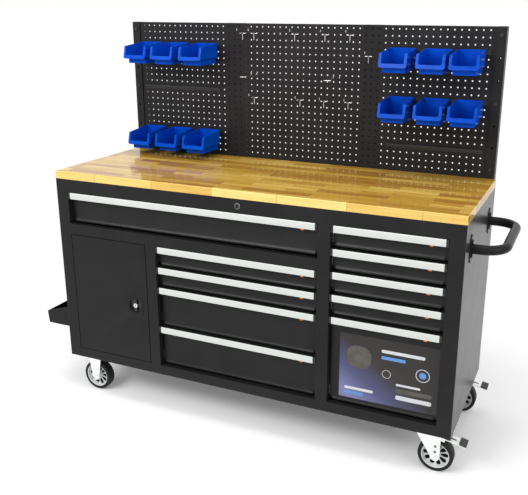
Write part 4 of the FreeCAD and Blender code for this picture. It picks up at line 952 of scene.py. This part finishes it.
for caster in CASTERS:
    wheel(caster)
for caster in BRAKED_CASTERS:
    pedal_pad(caster)
    rivets(caster)


# Label on the lowest drawer of the right column

def flat_shape(name, x, z, depth, finish_name, corner):
    """A flat upright piece with round corners, its face at depth[0], its back at depth[1]."""
    shape = bmesh.new()
    block(shape, (x[0], depth[0], z[0]), (x[1], depth[1], z[1]))
    round_corners(shape, corner, CORNER_SEGMENTS)
    show(name, shape, finish_name, LABEL_DRAWER)


def label():
    """A printed film with plain bars and rings."""
    left, foot = LABEL_X[0], LABEL_Z[0]
    face = span(LABEL_DRAWER)[0].y + RIDGE_PROUD
    film = face - LABEL_SHEET
    flat_shape("label_film", LABEL_X, LABEL_Z, (film, face), "film", LABEL_CORNER)
    depth = (film - PRINT_SHEET, film)
    for number, (finish_name, x, z, height) in enumerate(LABEL_BARS, 1):
        flat_shape(f"label_bar_{number}", (left + x[0], left + x[1]),
                   (foot + z, foot + z + height), depth, finish_name, height * BAR_CORNER)
    for number, (finish_name, x, z, outer, inner) in enumerate(LABEL_RINGS, 1):
        ring = bmesh.new()
        middle = Vector((left + x, film - PRINT_SHEET / 2, foot + z))
        turned(ring, tube(outer, inner, PRINT_SHEET / 2), middle)
        show(f"label_ring_{number}", ring, finish_name, LABEL_DRAWER)


label()


# Floor, light and camera

def floor():
    """A pale floor that fades to white away from the cabinet."""
    shape = bmesh.new()
    bmesh.ops.create_grid(shape, x_segments=1, y_segments=1, size=FLOOR_HALF)
    mesh = bpy.data.meshes.new("floor")
    shape.to_mesh(mesh)
    shape.free()
    piece = bpy.data.objects.new("floor", mesh)
    bpy.context.scene.collection.objects.link(piece)
    mesh.materials.append(floor_finish())


def seen_directly(material):
    """One where a ray comes from the camera, a reflection or clear glass, and nought elsewhere."""
    path = add(material, "LightPath")
    first = add(material, "Math", operation="MAXIMUM")
    second = add(material, "Math", operation="MAXIMUM")
    link(material, path.outputs["Is Camera Ray"], first.inputs[0])
    link(material, path.outputs["Is Glossy Ray"], first.inputs[1])
    link(material, first.outputs["Value"], second.inputs[0])
    link(material, path.outputs["Is Transmission Ray"], second.inputs[1])
    return second.outputs["Value"]


def floor_finish():
    """A matt floor that takes the cabinet's shadow and fades to plain white all round it."""
    material = bpy.data.materials.new("pale_floor")
    material.use_nodes = True
    nodes = material.node_tree.nodes
    nodes.clear()
    output = add(material, "OutputMaterial")
    matt = add(material, "BsdfDiffuse", {"Color": FLOOR_COLOUR})
    seen = add(material, "BsdfDiffuse", {"Color": WHITE})
    lift = add(material, "Emission", {"Strength": FLOOR_LIFT})
    both = add(material, "AddShader")
    link(material, seen.outputs["BSDF"], both.inputs[0])
    link(material, lift.outputs["Emission"], both.inputs[1])
    near = add(material, "MixShader")
    link(material, seen_directly(material), near.inputs["Fac"])
    link(material, matt.outputs["BSDF"], near.inputs[1])
    link(material, both.outputs["Shader"], near.inputs[2])
    white = add(material, "Emission", {"Strength": 1.0})
    place = add(material, "TexCoord")
    oval = add(material, "Mapping", {"Scale": FLOOR_OVAL})
    reach = add(material, "VectorMath", operation="LENGTH")
    reaches = {"From Min": FLOOR_FADE[0], "From Max": FLOOR_FADE[1]}
    fade = add(material, "MapRange", reaches, interpolation_type="SMOOTHSTEP")
    link(material, place.outputs["Object"], oval.inputs["Vector"])
    link(material, oval.outputs["Vector"], reach.inputs[0])
    link(material, reach.outputs["Value"], fade.inputs["Value"])
    far = add(material, "MixShader")
    link(material, fade.outputs["Result"], far.inputs["Fac"])
    link(material, near.outputs["Shader"], far.inputs[1])
    link(material, white.outputs["Emission"], far.inputs[2])
    link(material, far.outputs["Shader"], output.inputs["Surface"])
    return material


def surroundings():
    """Even light from all round, and white wherever the surroundings are seen or mirrored."""
    world = bpy.data.worlds.new("surroundings")
    bpy.context.scene.world = world
    world.use_nodes = True
    tree = world.node_tree
    tree.nodes.clear()
    output = add(world, "OutputWorld")
    light = add(world, "Background", {"Color": WHITE, "Strength": SKY_LIGHT})
    white = add(world, "Background", {"Color": WHITE, "Strength": 1.0})
    choice = add(world, "MixShader")
    link(world, seen_directly(world), choice.inputs["Fac"])
    link(world, light.outputs["Background"], choice.inputs[1])
    link(world, white.outputs["Background"], choice.inputs[2])
    link(world, choice.outputs["Shader"], output.inputs["Surface"])


def soft_lamp(name, place, target, size, power):
    """A rectangular lamp that looks from its place at a target."""
    lamp = bpy.data.lights.new(name, "AREA")
    lamp.shape = "RECTANGLE"
    lamp.size, lamp.size_y = size
    lamp.energy = power
    holder = bpy.data.objects.new(name, lamp)
    bpy.context.scene.collection.objects.link(holder)
    holder.location = place
    holder.rotation_mode = "QUATERNION"
    holder.rotation_quaternion = (Vector(target) - Vector(place)).to_track_quat("-Z", "Y")


def camera():
    """The eye of the picture, with the lens axis a little off the picture's middle."""
    lens = bpy.data.cameras.new("camera")
    lens.sensor_width = SENSOR
    lens.lens = LENS_PIXELS / PICTURE_WIDTH * SENSOR
    lens.shift_x = (PICTURE_MIDDLE[0] - LENS_AXIS[0]) / PICTURE_WIDTH
    lens.shift_y = (LENS_AXIS[1] - PICTURE_MIDDLE[1]) / PICTURE_WIDTH
    eye = bpy.data.objects.new("camera", lens)
    bpy.context.scene.collection.objects.link(eye)
    level = math.cos(CAMERA_PITCH)
    forward = Vector((math.sin(CAMERA_YAW) * level, math.cos(CAMERA_YAW) * level,
                      -math.sin(CAMERA_PITCH)))
    right = Vector((math.cos(CAMERA_YAW), -math.sin(CAMERA_YAW), 0.0))
    turn = Matrix((right, right.cross(forward), -forward)).transposed()
    turn = turn @ Matrix.Rotation(CAMERA_ROLL, 3, "Z")
    eye.matrix_world = Matrix.Translation(CAMERA_PLACE) @ turn.to_4x4()
    bpy.context.scene.camera = eye


floor()
surroundings()
for lamp_name, place, target, size, power in LAMPS:
    soft_lamp(lamp_name, place, target, size, power)
camera()
bpy.context.scene.view_settings.view_transform = "Standard"
